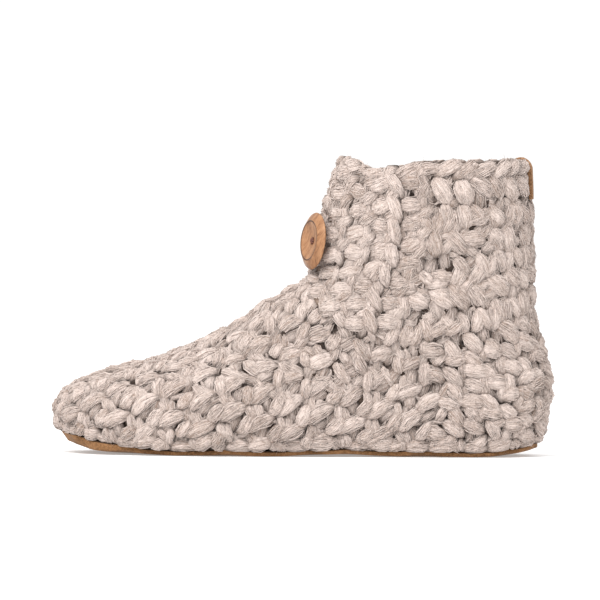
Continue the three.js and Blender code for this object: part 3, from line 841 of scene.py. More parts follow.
def barePlaces(heights, base, least, keep):
    spots = roundPlaces(heights, bare["step"], keep)
    ground = wallPoints(spots[0], spots[1], np.full(len(spots[0]), base + bare["ground"]))
    tubes = joinTubes(list(outerTubes.values()))
    share = np.broadcast_to(bare["points"], (len(tubes["flat"]), len(bare["points"])))
    lines, half, height = (alongTubes(tubes[key], share) for key in ("points", "half", "height"))
    half = np.where(height + half * tubes["flat"][:, None] > bare["above"], half, bare["buried"])
    clear = np.full(len(ground), np.inf)
    for first in range(0, len(lines), bare["some"]):
        some = slice(first, first + bare["some"])
        way = np.linalg.norm(ground[:, None] - lines[some].reshape(1, -1, 3), axis=2)
        clear = np.minimum(clear, (way - half[some].reshape(1, -1)).min(1))
    taken = []
    for index in np.argsort(-clear):
        if clear[index] < least:
            break
        if all(np.linalg.norm(ground[index] - ground[other]) > bare["apart"] for other in taken):
            taken.append(index)
    print("bare spots:", len(taken), "of", len(ground))
    return spots[:, taken].T


# Beside the button band and on top of the toe the fillers come up to the height of the other stitches
def fillStitchAt(section, turn, slope):
    stitch = looseStitch(fillStitch, *looseness["fill"])
    point, normal = formPoints(section, turn), formNormals(section, turn)
    onToe = smooth(normal[2], *bare["toeFacing"]) * smooth(point[0], *bare["toeX"])
    raised = bare["besideBand"] * underBand(section, turn, bare["besideMargin"]) + bare["onToe"] * onToe
    stitch[:, bundleNames.index("lift")] += raised
    return stitch


# The layer under the stitches: loose thick strands in every direction, so that a gap shows yarn in shade
underLayer = {
    "first": 4, "pitch": 7.3, "below": 3, "wallMargin": 6, "bandPitch": 6.4, "bandMargin": 2, "sides": 4,
    "long": 17.0, "longJitter": 0.1, "bow": 1.2, "thick": 2.9, "thickJitter": 0.08, "taper": 0.45,
    "lift": -0.3, "liftJitter": 0.35, "dive": 1.2, "tabLift": -0.8, "shade": 0.4, "tone": 0.4,
}


def roundPlaces(heights, width, keep):
    found = []
    for row, height in enumerate(heights):
        turns, line, points, way = roundLine(height)
        slope = np.gradient(line, turns)
        marks = np.arange(0.5 * (row % 2), way[-1] / width) * width
        at = np.searchsorted(way, marks[marks < way[-1]])
        found += [(line[i], turns[i], slope[i]) for i in at if keep(line[i], turns[i], points[i:i + 1])]
    return np.array(found).T


def underTubes(anchors):
    count = len(anchors.turn)
    angle = np.pi * rng.random(count)[:, None]
    run = (ringPlaces - 0.5) * underLayer["long"]
    run = run * (1 + underLayer["longJitter"] * rng.normal(size=(count, 1)))
    bow = underLayer["bow"] * rng.normal(size=(count, 1)) * np.sin(np.pi * ringPlaces)
    s, r = np.cos(angle) * run - np.sin(angle) * bow, np.sin(angle) * run + np.cos(angle) * bow
    half = underLayer["thick"] * (1 - underLayer["taper"] * ringEnds**3)
    half = half * (1 + underLayer["thickJitter"] * rng.normal(size=(count, 1)))
    height = underLayer["lift"] + underLayer["liftJitter"] * rng.normal(size=(count, 1)) - half
    height = height - underLayer["dive"] * ringEnds**2
    covered = underTab(formPoints(anchors.section, anchors.turn))
    height[covered] += underLayer["tabLift"]
    points, facing = anchors.lay(np.arange(count), s, r, height)
    points[..., 2] = np.maximum(points[..., 2], soleTop(points[..., 0]) + half)
    tubes = roundTubes(points, facing, half, height + half * underLayer["shade"],
                       underLayer["tone"] * rng.normal(size=count))
    tubes["room"] = anchors.room(np.arange(count), height)
    return tubes


underHeights = np.arange(underLayer["first"], wallHeight - underLayer["below"], underLayer["pitch"])
bareHeights = np.arange(bare["first"], wallHeight - bare["below"], bare["step"])
bareWall = barePlaces(bareHeights, yarn["base"], bare["clear"], lambda line, turn, point: not (
    underBand(line, turn, bare["wallMargin"]) or underTab(point)[0]))
workPiece("wallFillers", bareWall, fillStitchAt)
wallPlaces = roundPlaces(underHeights, underLayer["pitch"], lambda line, turn, point: not underBand(
    line, turn, underLayer["wallMargin"]))
wallAnchors = WallAnchors(*wallPlaces, yarn["base"])
underWall = tubeMesh("underLayer", underTubes(wallAnchors), underLayer["sides"])
finishPiece(underWall, woolYarn, "upper")

weldDistance = 1e-6  # metres


# A grid moved on to a form and closed where its edges meet. Its last rows may have the second material
def mappedGrid(uSteps, vSteps, mapping, secondFrom=1.0):
    bm = bmesh.new()
    bmesh.ops.create_grid(bm, x_segments=uSteps, y_segments=vSteps, size=0.5)
    for face in bm.faces:
        face.material_index = int(face.calc_center_median().y + 0.5 > secondFrom)
    flat = np.array([vert.co[:2] for vert in bm.verts]) + 0.5
    for vert, co in zip(bm.verts, place(mapping(flat[:, 0], flat[:, 1]))):
        vert.co = co
    bmesh.ops.remove_doubles(bm, verts=bm.verts, dist=weldDistance)
    bmesh.ops.recalc_face_normals(bm, faces=bm.faces)
    return bm


# Sharp edges get a small round; the angle is in radians
edgeRound = {"angle": 1.0, "segments": 2}


def roundEdges(bm, offset):
    sharp = [edge for edge in bm.edges
             if len(edge.link_faces) == 2 and edge.calc_face_angle() > edgeRound["angle"]]
    bmesh.ops.bevel(bm, geom=sharp, offset=offset * mm, offset_type="OFFSET", segments=edgeRound["segments"],
                    profile=0.5, affect="EDGES", material=-1)


def bmeshObject(name, bm):
    for face in bm.faces:
        face.smooth = True
    mesh = bpy.data.meshes.new(name)
    bm.to_mesh(mesh)
    bm.free()
    print(name, len(mesh.polygons), "faces")
    return addObject(name, mesh)


# The wall behind the stitches, one closed shell from the sole seam over the collar and down the inside
wallShell = {"outer": -4.4, "inner": -5.9, "rimDrop": 1.5, "outerSteps": 48, "innerSteps": 36,
             "turnSteps": 144}
shellRim = ((-4.7, -0.6), (-5.2, -0.3), (-5.6, -0.6))  # outward and up, over the collar


def shellProfile():
    outer = [(section, wallShell["outer"], 0) for section in np.linspace(0, collar, wallShell["outerSteps"])]
    crest = [(collar, outward, up) for outward, up in shellRim]
    inner = [(section, wallShell["inner"], 0) for section in np.linspace(collar, 0, wallShell["innerSteps"])]
    return np.array(outer + crest + inner + outer[:1])


def shellPoints(u, v):
    profile = shellProfile()
    section, outward, up = profile[np.rint(v * (len(profile) - 1)).astype(int)].T
    points = wallPoints(section, 2 * np.pi * u, outward)
    points[:, 2] = np.where(section == 0, soleTop(points[:, 0]),
                            points[:, 2] + up - wallShell["rimDrop"] * (section == collar))
    return points


baseLook = {"noise": ((420, 420, 420), 4.0, 0.65, 1.2), "stops": (0.3, 0.7), "bump": (0.8, 0.0012),
            "finish": {"Roughness": 1.0, "Specular IOR Level": 0.1}}
# Painted shade: the shell's outer faces and the band's slab are painted dark brown, as the shade in the gaps
# between the stitches; the shell's inside gets the paler wool
shadedWoolBase = makeMatted("shadedWoolBase", baseLook, (0.1, 0.068, 0.051), (0.3, 0.225, 0.182))
woolInside = makeMatted("woolInside", baseLook, (0.36, 0.285, 0.24), (0.62, 0.52, 0.465))
shellSteps = len(shellProfile()) - 1
shellGrid = mappedGrid(wallShell["turnSteps"], shellSteps, shellPoints, wallShell["outerSteps"] / shellSteps)
wallObject = finishPiece(bmeshObject("woolWall", shellGrid), shadedWoolBase, "upper")
wallObject.data.materials.append(woolInside)

# The button band: a slab on the wall, with columns of stitches that run up and down
bandColumns = {
    "ridge": 1.2, "ridgePitch": 12.2, "ridgeTail": ((101, 66), (103.2, 57), (105, 48)),  # length and height
    "first": 8.8, "apart": 12.2, "lastRoom": 2, "widthSection": 10, "widthSteps": 60, "pitch": 10.8,
    "outside": -7.6, "outsidePhase": 0.6, "lowRoom": 0.2, "topRoom": 0.1, "sectionStep": 0.05,
    "startRoom": 0.1, "freeRoom": 2, "wayRoom": (22, 8), "waySteps": 160,
}
bandLift = {"under": 0.8, "lowEdge": -1.5, "freeEdge": -0.4, "fillers": 0.5}
bandRims = {"lowDeg": 80, "lowPitch": 11.5, "lowUp": 0.12, "freeSections": (8.4, 11.9), "freePitch": 0.62,
            "freeIn": 1.5}


def frontTurn(degrees):
    return np.pi - np.radians(degrees)


def bandTurn(section, way):
    edgeRoom, freeRoom = bandColumns["wayRoom"]
    turns = np.linspace(frontTurn(bandEdgeDeg(section) + edgeRoom), frontTurn(band["freeDeg"] - freeRoom),
                        bandColumns["waySteps"])
    length = lengthAlong(formPoints(section, turns))
    edge = np.interp(frontTurn(bandEdgeDeg(section)), turns, length)
    return np.interp(edge + way, length, turns)


# The place on the outer side that is seen at a length and height from the side
def wallAt(x, z):
    outer = wallGrid[:, turnGrid < np.pi]
    row, column = np.unravel_index(np.argmin(np.hypot(outer[..., 0] - x, outer[..., 2] - z)), outer.shape[:2])
    return sectionGrid[row], turnGrid[column], 0.0


def bandWidth(section):
    ends = frontTurn(bandEdgeDeg(section)), frontTurn(band["freeDeg"])
    turns = np.linspace(*ends, bandColumns["widthSteps"])
    return lengthAlong(formPoints(section, turns))[-1]


# Places up one column of the band, at a way from the band's edge
def columnPlaces(way, pitch, phase):
    steps = np.arange(bandEdge[0, 0] - bandColumns["lowRoom"], collar - bandColumns["topRoom"],
                      bandColumns["sectionStep"])
    turns = np.array([bandTurn(section, way) for section in steps])
    degrees = np.degrees(np.pi - turns)
    starts = bandStart(np.clip(degrees, band["freeDeg"], bandEdge[0, 1]))
    keep = (steps > starts - bandColumns["startRoom"]) & (degrees > band["freeDeg"] - bandColumns["freeRoom"])
    steps, turns = steps[keep], turns[keep]
    if len(steps) < 3:
        return []
    length = lengthAlong(formPoints(steps, turns))
    marks = np.arange(length[-1] - phase * pitch, 0, -pitch)
    return [(np.interp(m, length, steps), np.interp(m, length, turns), 0.0) for m in marks]


frontSections = np.linspace(8, collar, 400)


# A place on the front of the shaft, from its direction and its height
def frontSpot(degrees, height):
    turn = frontTurn(degrees)
    return np.interp(height, formPoints(frontSections, turn)[:, 2], frontSections), turn


bulgeMiddle = formPoints(*frontSpot(band["bulgeDeg"], band["bulgeHeight"]))


# The band stands out more at the collar and under the button, and runs out flat on the foot
def bandRise(section, turn):
    front = 1 - smooth(np.degrees(np.pi - turn), *band["levelDeg"])
    fall = band["footFall"] * (1 - smooth(section, *band["footSections"]))
    level = band["topRise"] * smooth(section, *band["topSections"]) - fall
    away = np.linalg.norm(formPoints(section, turn) - bulgeMiddle, axis=-1)
    return front * level + band["bulge"] * (1 - smooth(away, band["bulgeNear"], band["bulgeFar"]))


def bandBase(places, lift=0.0):
    section, turn = np.array(places)[:, :2].T
    return band["gap"] + band["base"] + bandRise(section, turn) + lift


def workBand(name, places, stitchAt, lift=0.0):
    return workPiece(name, places, stitchAt, "button_band", bandBase(places, lift), False)


bandPlaces = roundPlaces(underHeights, underLayer["bandPitch"], lambda line, turn, point: underBand(
    line, turn, underLayer["bandMargin"]))
bandAnchors = WallAnchors(*bandPlaces, bandBase(bandPlaces.T, bandLift["under"]))
bandStrands = underTubes(bandAnchors)
finishPiece(tubeMesh("bandUnder", bandStrands, underLayer["sides"]), woolYarn, "button_band")
lastWay = bandWidth(bandColumns["widthSection"]) - bandColumns["lastRoom"]
barPlaces = []
for index, way in enumerate(np.arange(bandColumns["first"], lastWay, bandColumns["apart"])):
    barPlaces += columnPlaces(way, bandColumns["pitch"], 0.5 + 0.5 * (index % 2))
workBand("bandStitches", barPlaces, lambda *where: barStitch)
ridgePlaces = columnPlaces(bandColumns["ridge"], bandColumns["ridgePitch"], 0.5)
workBand("bandRidge", ridgePlaces, lambda *where: ridgeStitch)
ridgeTail = [wallAt(x, z) for x, z in bandColumns["ridgeTail"]]
workPiece("ridgeTail", ridgeTail, lambda *where: ridgeStitch, stretched=False)
lowDegrees = np.arange(bandRims["lowDeg"], band["freeDeg"], -bandRims["lowPitch"])
lowEdge = [(bandStart(degrees) + bandRims["lowUp"], frontTurn(degrees), 0.0) for degrees in lowDegrees]
freeSections = np.arange(*bandRims["freeSections"], bandRims["freePitch"])
freeEdge = [(section, frontTurn(band["freeDeg"] + bandRims["freeIn"]), 0.0) for section in freeSections]
workBand("bandLowEdge", lowEdge, lambda *where: edgeStitch, bandLift["lowEdge"])
workBand("bandFreeEdge", freeEdge, lambda *where: ridgeStitch, bandLift["freeEdge"])
bareBand = barePlaces(bareHeights, bare["bandGround"], bare["bandClear"], lambda line, turn, point: underBand(
    line, turn, bare["bandMargin"]))
workBand("bandFillers", bareBand, lambda *where: looseStitch(fillStitch, *looseness["fill"]),
         bandLift["fillers"])
besidePlaces = columnPlaces(bandColumns["outside"], bandColumns["pitch"], bandColumns["outsidePhase"])
workPiece("besideRidge", besidePlaces, lambda *where: barStitch, base=yarn["besideBase"], stretched=False)


def bandPoints(u, v):
    lowDeg = bandEdge[0, 1] + (band["freeDeg"] - bandEdge[0, 1]) * u
    start = bandStart(lowDeg)
    section = start + band["inset"] + (collar - 2 * band["inset"] - start) * v
    across = band["sideInset"] + (1 - 2 * band["sideInset"]) * u
    turn = frontTurn(bandEdgeDeg(section) + (band["freeDeg"] - bandEdgeDeg(section)) * across)
    return wallPoints(section, turn, band["gap"] + bandRise(section, turn))


# The slab is painted dark, as shade behind the band's stitches
bm = mappedGrid(band["steps"], band["steps"], bandPoints)
bmesh.ops.solidify(bm, geom=bm.faces[:], thickness=-band["slab"] * mm)
bmesh.ops.recalc_face_normals(bm, faces=bm.faces)
finishPiece(bmeshObject("bandSlab", bm), shadedWoolBase, "button_band")

# The collar's edge: a chain of long strands that climb over the rim
rimAnchors = RimAnchors()
outerTubes["collarChain"] = sameStitches(rimAnchors, len(rimAnchors.starts), rimStitch)
finishPiece(coreMesh("collarChain", outerTubes["collarChain"]), woolYarn, "upper")

# The wall's inside, as far down as a look over the collar reaches
inside = {"first": 9, "lowest": 30, "pitch": 10.4, "width": 12, "base": 1.4, "lessShade": 1.3, "sides": 6}
insideHeights = np.arange(wallHeight - inside["first"], inside["lowest"], -inside["pitch"])
places = roundPlaces(insideHeights, inside["width"], lambda line, turn, point: not underTab(point)[0])
insideAnchors = WallAnchors(*places, inside["base"] - last["wall"], True)
insideTubes = sameStitches(insideAnchors, len(places[0]), insideStitch)
insideTubes["height"] += inside["lessShade"]  # for the painted shade only: the inside is painted less dark
insideObject = tubeMesh("insideStitches", insideTubes, inside["sides"], yarn["ridge"])
finishPiece(insideObject, woolYarn, "upper")

# Fibres that lie side by side on the bundles, each over a part of their length
fibres = {
    "perMillimetre": 2.1, "lowPerMillimetre": 1.35, "shortest": 0.55, "longest": 1.0, "sides": 3,
    "thick": 0.32, "thickJitter": 0.18, "taper": 0.85, "reachDeg": 84, "angleJitter": 0.1, "stray": 0.2,
    "rise": 1.06, "riseJitter": 0.05, "tuck": 0.12, "tone": 0.5, "toneJitter": 0.62,
}
fibrePlaces = np.array((0, 0.3, 0.7, 1))


def fibreTubes(tubes, perMillimetre):
    counts = np.rint(2 * tubes["half"].max(1) * perMillimetre).astype(int)
    which = np.repeat(np.arange(len(counts)), counts)
    order = np.concatenate([(np.arange(number) + 0.5) / number for number in counts])
    total = len(which)
    long = rng.uniform(fibres["shortest"], fibres["longest"], (total, 1))
    share = rng.random((total, 1)) * (1 - long) + long * fibrePlaces
    bundles = {key: values[which] if values.ndim == 1 else alongTubes(values[which], share)
               for key, values in tubes.items()}
    angle = math.radians(fibres["reachDeg"]) * (2 * order - 1)
    angle = angle + fibres["angleJitter"] * rng.normal(size=total)
    stray = fibres["stray"] * rng.normal(size=(total, 1))
    stray = stray * np.sin(2 * np.pi * (fibrePlaces + rng.random((total, 1))))
    turned = angle[:, None] + stray + bundles["twist"][:, None] * (share - fibrePlaces)
    ring, rise = tubeRing(bundles, turned[..., None])
    ends = np.abs(2 * fibrePlaces - 1) ** 3
    lift = fibres["rise"] + fibres["riseJitter"] * rng.normal(size=(total, 1)) - fibres["tuck"] * ends
    half = fibres["thick"] * (1 - fibres["taper"] * ends)
    half = half * (1 + fibres["thickJitter"] * rng.normal(size=(total, 1)))
    away = ring[:, :, 0]
    tones = bundles["tones"] + fibres["tone"] + fibres["toneJitter"] * rng.normal(size=total)
    return roundTubes(bundles["points"] + away * lift[..., None], away, half,
                      bundles["height"] + rise[..., 0], tones)


fibreGroups = (
    ("fibresFoot", "upper", ("footStitchesOuter", "footStitchesInner", "heelStitches")),
    ("fibresShaft", "upper", ("shaftStitches", "seamStitches")),
    ("fibresWall", "upper", ("wallFillers", "ridgeTail", "besideRidge", "collarChain")),
    ("fibresBand", "button_band", ("bandUnder", "bandStitches", "bandRidge", "bandLowEdge", "bandFreeEdge",
                                    "bandFillers")),
)
laidTubes = {**outerTubes, "bandUnder": bandStrands}
density = dict.fromkeys(("wallFillers", "bandUnder", "bandFillers"), fibres["lowPerMillimetre"])
for name, node, works in fibreGroups:
    laid = [fibreTubes(laidTubes[work], density.get(work, fibres["perMillimetre"])) for work in works]
    finishPiece(tubeMesh(name, joinTubes(laid), fibres["sides"]), woolYarn, node)

# Loose hairs that stand off the bundles
fuzz = {
    "count": 5600, "places": np.array((0, 0.45, 1)), "sides": 3, "long": 1.9, "longJitter": 0.4,
    "longest": 3.4, "thick": 0.08, "rootThick": 1.1, "taper": 0.85, "spread": 0.75, "spreadMost": 1.5,
    "root": 0.95, "lean": 0.3, "leastLean": 0.15, "stray": 0.35, "curl": 0.45, "curlAway": 0.25,
    "lowest": 1.0, "height": 3.0,
}


def fuzzTubes():
    tubes, total, t = joinTubes(list(outerTubes.values())), fuzz["count"], fuzz["places"]
    which, at = rng.integers(0, len(tubes["flat"]), total), rng.integers(1, len(ringPlaces) - 1, total)
    angle = fuzz["spread"] * rng.normal(size=len(tubes["flat"]))
    angle = np.clip(angle, -fuzz["spreadMost"], fuzz["spreadMost"])
    ring, rise = tubeRing(tubes, np.broadcast_to(angle[:, None, None], (*tubes["half"].shape, 1)))
    tangent = lineFrames(tubes["points"], tubes["facing"])[0][which, at]
    away = unit(ring[which, at, 0])
    root = tubes["points"][which, at] + ring[which, at, 0] * fuzz["root"]
    side = np.where(rng.random(total) < 0.5, -1.0, 1.0)[:, None]
    lean = np.abs(fuzz["lean"] * rng.normal(size=(total, 1))) + fuzz["leastLean"]
    heading = unit(side * tangent + away * lean + fuzz["stray"] * rng.normal(size=away.shape))
    curl = fuzz["curl"] * rng.normal(size=away.shape) + fuzz["curlAway"] * away
    long = fuzz["long"] * np.exp(fuzz["longJitter"] * rng.normal(size=(total, 1)))
    long = np.minimum(long, fuzz["longest"])
    hairs = root[:, None] + (heading[:, None] * t[:, None] + curl[:, None] * (t**2)[:, None]) * long[:, None]
    hairs[..., 2] = np.maximum(hairs[..., 2], fuzz["lowest"])
    half = fuzz["thick"] * (fuzz["rootThick"] - fuzz["taper"] * t) * np.ones((total, 1))
    # The hairs' height only sets their painted shade, and this one gives them none
    return roundTubes(hairs, np.repeat(away[:, None], len(t), 1), half, np.full(half.shape, fuzz["height"]),
                      rng.normal(size=total))


finishPiece(tubeMesh("looseHairs", fuzzTubes(), fuzz["sides"]), woolYarn, "upper")

# Suede: a short nap that lies in patches
suedeLook = {
    "patches": ((55, 75, 75), 3.0, 0.6, 0.8), "patchShare": 0.45, "nap": ((900, 1300, 1300), 2.0, 0.7),
    "napShare": 0.55, "stops": (0.34, 0.5, 0.68), "bump": (0.55, 0.0005),
    "finish": {"Roughness": 0.92, "Specular IOR Level": 0.2, "Sheen Weight": 0.15, "Sheen Roughness": 0.5,
               "Sheen Tint": (1, 0.85, 0.7, 1)},
}


def makeSuede(name, *colours):
    material, tree, shader = newMaterial(name)
    coords = objectCoords(tree)
    patches = noiseNode(tree, coords, *suedeLook["patches"])
    nap = noiseNode(tree, coords, *suedeLook["nap"])
    value = mathNode(tree, "MULTIPLY", patches, suedeLook["patchShare"])
    value = mathNode(tree, "MULTIPLY_ADD", nap, suedeLook["napShare"], value)
    tree.links.new(colourRamp(tree, value, suedeLook["stops"], colours), shader.inputs["Base Color"])
    addBump(tree, shader, nap, *suedeLook["bump"])
    setInputs(shader, suedeLook["finish"])
    return material


soleSuede = makeSuede("soleSuede", (0.075, 0.035, 0.014), (0.195, 0.096, 0.04), (0.33, 0.17, 0.075))
shadedUnderSuede = makeSuede("shadedUnderSuede", (0.02, 0.009, 0.004), (0.045, 0.02, 0.009), (0.09, 0.042, 0.018))
tabSuede = makeSuede("tabSuede", (0.13, 0.064, 0.029), (0.27, 0.142, 0.071), (0.42, 0.24, 0.132))

feltLook = {"noise": ((260, 300, 300), 4.0, 0.7, 1.6), "stops": (0.3, 0.7), "bump": (0.6, 0.0008),
            "finish": {"Roughness": 1.0, "Specular IOR Level": 0.1, "Sheen Weight": 0.2}}
insoleFelt = makeMatted("insoleFelt", feltLook, (0.3, 0.245, 0.205), (0.56, 0.48, 0.42))

# Plates along the foot: rungs from the outer to the inner edge, bent up with the sole
plateForm = {"across": 20, "along": 110, "ends": (0.004, 0.996), "toeFrom": (0.6, 0.95), "sidePower": 10,
             "endPower": 30, "dropX": (212, 250), "tuckX": (238, 262), "outPhase": 0, "upPhase": 2}
outsole = {"inset": 0.0, "bottom": 0.0, "thickness": 2.6, "bevel": 0.7, "waveOut": 0.8, "waveUp": 1.3,
           "toeDrop": 2.6, "toeReach": 3.6, "toeTuck": 3.8, "shadedFrom": -0.25}
insole = {"inset": 7.6, "bottom": 2.9, "thickness": 4.0, "bevel": 1.2, "waveOut": 0.0, "waveUp": 0.0,
          "toeDrop": 0.0, "toeReach": 0.0, "toeTuck": 0.0}
# Waves of the cut edge: how many round the sole, their share and where they start
edgeWaves = ((5, 0.5, 1.0), (9, 0.8, 2.1), (14, 1.0, 4.0), (23, 0.7, 0.4), (37, 0.5, 5.2))


def edgeWave(turn, start):
    return sum(share * np.sin(count * turn + phase + start) for count, share, phase in edgeWaves) / 2


# The sole is thicker where it is lasted up the toe
def toeDrop(plate, x):
    return plate["toeDrop"] * smooth(x, *plateForm["dropX"])


def platePoints(plate, u, v):
    turn = np.pi * np.clip(v, *plateForm["ends"])
    toe = plate["toeReach"] * smooth(-np.cos(turn), *plateForm["toeFrom"]) - plate["inset"]
    edges = []
    for way in (turn, 2 * np.pi - turn):
        outward = plate["waveOut"] * edgeWave(way, plateForm["outPhase"]) + toe
        edges.append(wallPoints(np.zeros(len(turn)), way, outward))
    points = edges[0] + (edges[1] - edges[0]) * u[:, None]
    nearSide = np.abs(2 * u - 1) ** plateForm["sidePower"]
    nearEnd = np.abs(2 * v - 1) ** plateForm["endPower"]
    side = np.where(u < 0.5, turn, 2 * np.pi - turn)
    wave = plate["waveUp"] * np.maximum(nearSide, nearEnd) * (1 + edgeWave(side, plateForm["upPhase"])) / 2
    points[:, 2] = soleLift(points[:, 0]) + plate["bottom"] + wave
    points[:, 2] -= toeDrop(plate, points[:, 0])
    return points


def makePlate(name, plate):
    bm = mappedGrid(plateForm["across"], plateForm["along"], lambda u, v: platePoints(plate, u, v))
    grown = bmesh.ops.extrude_face_region(bm, geom=bm.faces[:], use_keep_orig=True)["geom"]
    upper = {item for item in grown if isinstance(item, bmesh.types.BMVert)}
    for vert in bm.verts:
        x = vert.co.x / mm - shift[0]
        if vert in upper:
            vert.co.z += (plate["thickness"] + toeDrop(plate, x)) * mm
        else:
            vert.co.x -= plate["toeTuck"] * smooth(x, *plateForm["tuckX"]) * mm
    bmesh.ops.recalc_face_normals(bm, faces=bm.faces)
    roundEdges(bm, plate["bevel"])
    return bmeshObject(name, bm)


soleObject = finishPiece(makePlate("suedeOutsole", outsole), soleSuede, "outsole")
# Painted shade: the faces that look down get a much darker suede
soleObject.data.materials.append(shadedUnderSuede)
for polygon in soleObject.data.polygons:
    polygon.material_index = int(polygon.normal.z < outsole["shadedFrom"])
feltInsole = finishPiece(makePlate("feltInsole", insole), insoleFelt, "insole")

# The heel tab: a strip of suede that goes up the outside of the collar, over it and down the inside
tab = {
    "halfWidth": 10, "outside": (18, 3), "outsideSteps": 8, "inside": (1.5, 14), "insideSteps": 7,
    "lift": -1.0, "sink": 1.5, "thickness": 2.6, "columns": 8, "steps": 44, "smoothing": 2, "bevel": 0.5,
}
tabFold = ((0, -1.4), (0.2, 0.6), (0.55, 1.9), (0.85, 2.1), (1, 1.2))  # across the collar, height


def tabLine(turn, lift):
    rise = formPoints(collar, 0)[2] - formPoints(collar - 1, 0)[2]
    outerPart = [wallPoints(collar - drop / rise, turn, lift - tab["sink"] * drop / tab["outside"][0])
                 for drop in np.linspace(*tab["outside"], tab["outsideSteps"])]
    over = [wallPoints(collar, turn, lift - (last["wall"] + 2 * lift) * across) + np.array([0, 0, height])
            for across, height in tabFold]
    innerPart = [wallPoints(collar - drop / rise, turn, -last["wall"] - lift)
                 for drop in np.linspace(*tab["inside"], tab["insideSteps"])]
    return np.array(outerPart + over + innerPart)


def tabPoints(u, v):
    turns = np.linspace(0, 1, 600)  # fine steps from the back, to find the tab's edge
    halfTurn = np.interp(tab["halfWidth"], formPoints(collar, turns)[:, 1], turns)
    columns = np.unique(u)
    lines = np.array([tabLine(halfTurn * (2 * share - 1), tab["lift"]) for share in columns])
    way = lengthAlong(lines[len(lines) // 2])
    column = np.searchsorted(columns, u)
    return np.stack([[np.interp(share * way[-1], way, lines[c, :, axis]) for axis in range(3)]
                     for c, share in zip(column, v)])


bm = mappedGrid(tab["columns"], tab["steps"], tabPoints)
for _ in range(tab["smoothing"]):
    bmesh.ops.smooth_vert(bm, verts=[vert for vert in bm.verts if not vert.is_boundary], factor=0.5,
                          use_axis_x=True, use_axis_y=True, use_axis_z=True)
bmesh.ops.solidify(bm, geom=bm.faces[:], thickness=-tab["thickness"] * mm)
bmesh.ops.recalc_face_normals(bm, faces=bm.faces)
roundEdges(bm, tab["bevel"])
finishPiece(bmeshObject("heelTabStrip", bm), tabSuede, "heel_tab")

# The button: a turned disc with a wide bevel, a thin groove round its dished face and one hole
button = {
    "radius": 15.0, "thickness": 6.0, "face": 10.8, "dish": 10.2, "dishDepth": 2.4, "dishSteps": 7,
    "hole": 1.6, "grooveIn": 0.5, "grooveDepth": 0.42, "backFace": 9.6, "back": 0.9, "steps": 72,
    "height": 114, "turnDeg": 20, "facingDeg": 23, "tiltDeg": 6, "standoff": 6.6, "forward": 2.4,
    "lower": 2.8,
}


def buttonFrame():
    section, turn = frontSpot(button["turnDeg"], button["height"])
    facing, tilt = math.radians(button["facingDeg"]), math.radians(button["tiltDeg"])
    axis = np.array([math.cos(tilt) * math.cos(facing), math.cos(tilt) * math.sin(facing), math.sin(tilt)])
    middle = wallPoints(section, turn, button["standoff"]) + axis * button["forward"]
    middle[2] -= button["lower"]
    turned = Vector((0, 0, 1)).rotation_difference(Vector(axis)).to_matrix().to_4x4()
    return Matrix.Translation(Vector(place(middle))) @ turned


def buttonProfile():
    edge, face, hole, backFace = (button[key] for key in ("radius", "face", "hole", "backFace"))
    top, back = button["thickness"], button["back"]
    middle, grooveZ = top / 2, top - button["grooveDepth"]
    radii = np.linspace(button["dish"] - 0.5, hole + 0.3, button["dishSteps"])
    dish = [(radius, top - button["dishDepth"] * (1 - (radius / button["dish"]) ** 2)) for radius in radii]
    return [
        (hole, back), (backFace, back), (backFace + 0.5, back + 0.2),  # the flat back
        (edge - 0.5, middle - 0.45), (edge - 0.1, middle - 0.2), (edge, middle + 0.1),  # the rim
        (edge - 0.35, middle + 0.6), (face + 0.35, top - 0.25), (face, top),  # the wide bevel
        (face - 0.25, top - 0.02), (face - 0.4, grooveZ), (face - 0.6, grooveZ), (face - 0.75, top - 0.06),
        *dish, (hole, dish[-1][1] - 0.3), (hole, back),  # the hole, down to the back
    ]


def turnedObject(name, profile, frameMatrix, steps):
    bm = bmesh.new()
    verts = [bm.verts.new((radius * mm, 0, height * mm)) for radius, height in profile]
    edges = [bm.edges.new(pair) for pair in zip(verts, verts[1:])]
    bmesh.ops.spin(bm, geom=verts + edges, cent=(0, 0, 0), axis=(0, 0, 1), angle=2 * math.pi, steps=steps,
                   use_merge=True)
    bmesh.ops.remove_doubles(bm, verts=bm.verts, dist=weldDistance)
    bmesh.ops.recalc_face_normals(bm, faces=bm.faces)
    bmesh.ops.transform(bm, matrix=frameMatrix, verts=bm.verts)
    return bmeshObject(name, bm)


buttonPlace = buttonFrame()
woodLook = {
    "colours": ((0.13, 0.052, 0.02), (0.28, 0.132, 0.058), (0.385, 0.2, 0.1)), "stops": (0.36, 0.48, 0.64),
    "grain": ((420, 1700, 420), 3.0, 0.6, 0.4), "rings": ((60, 330, 60), 2.0, 0.5, 0.6), "share": 0.5,
    "groove": (0.04, 0.015, 0.007), "grooveRange": (0.0002, 0.00055, 0.85, 0.0), "bump": (0.25, 0.0002),
    "finish": {"Roughness": 0.48, "Specular IOR Level": 0.35},
}


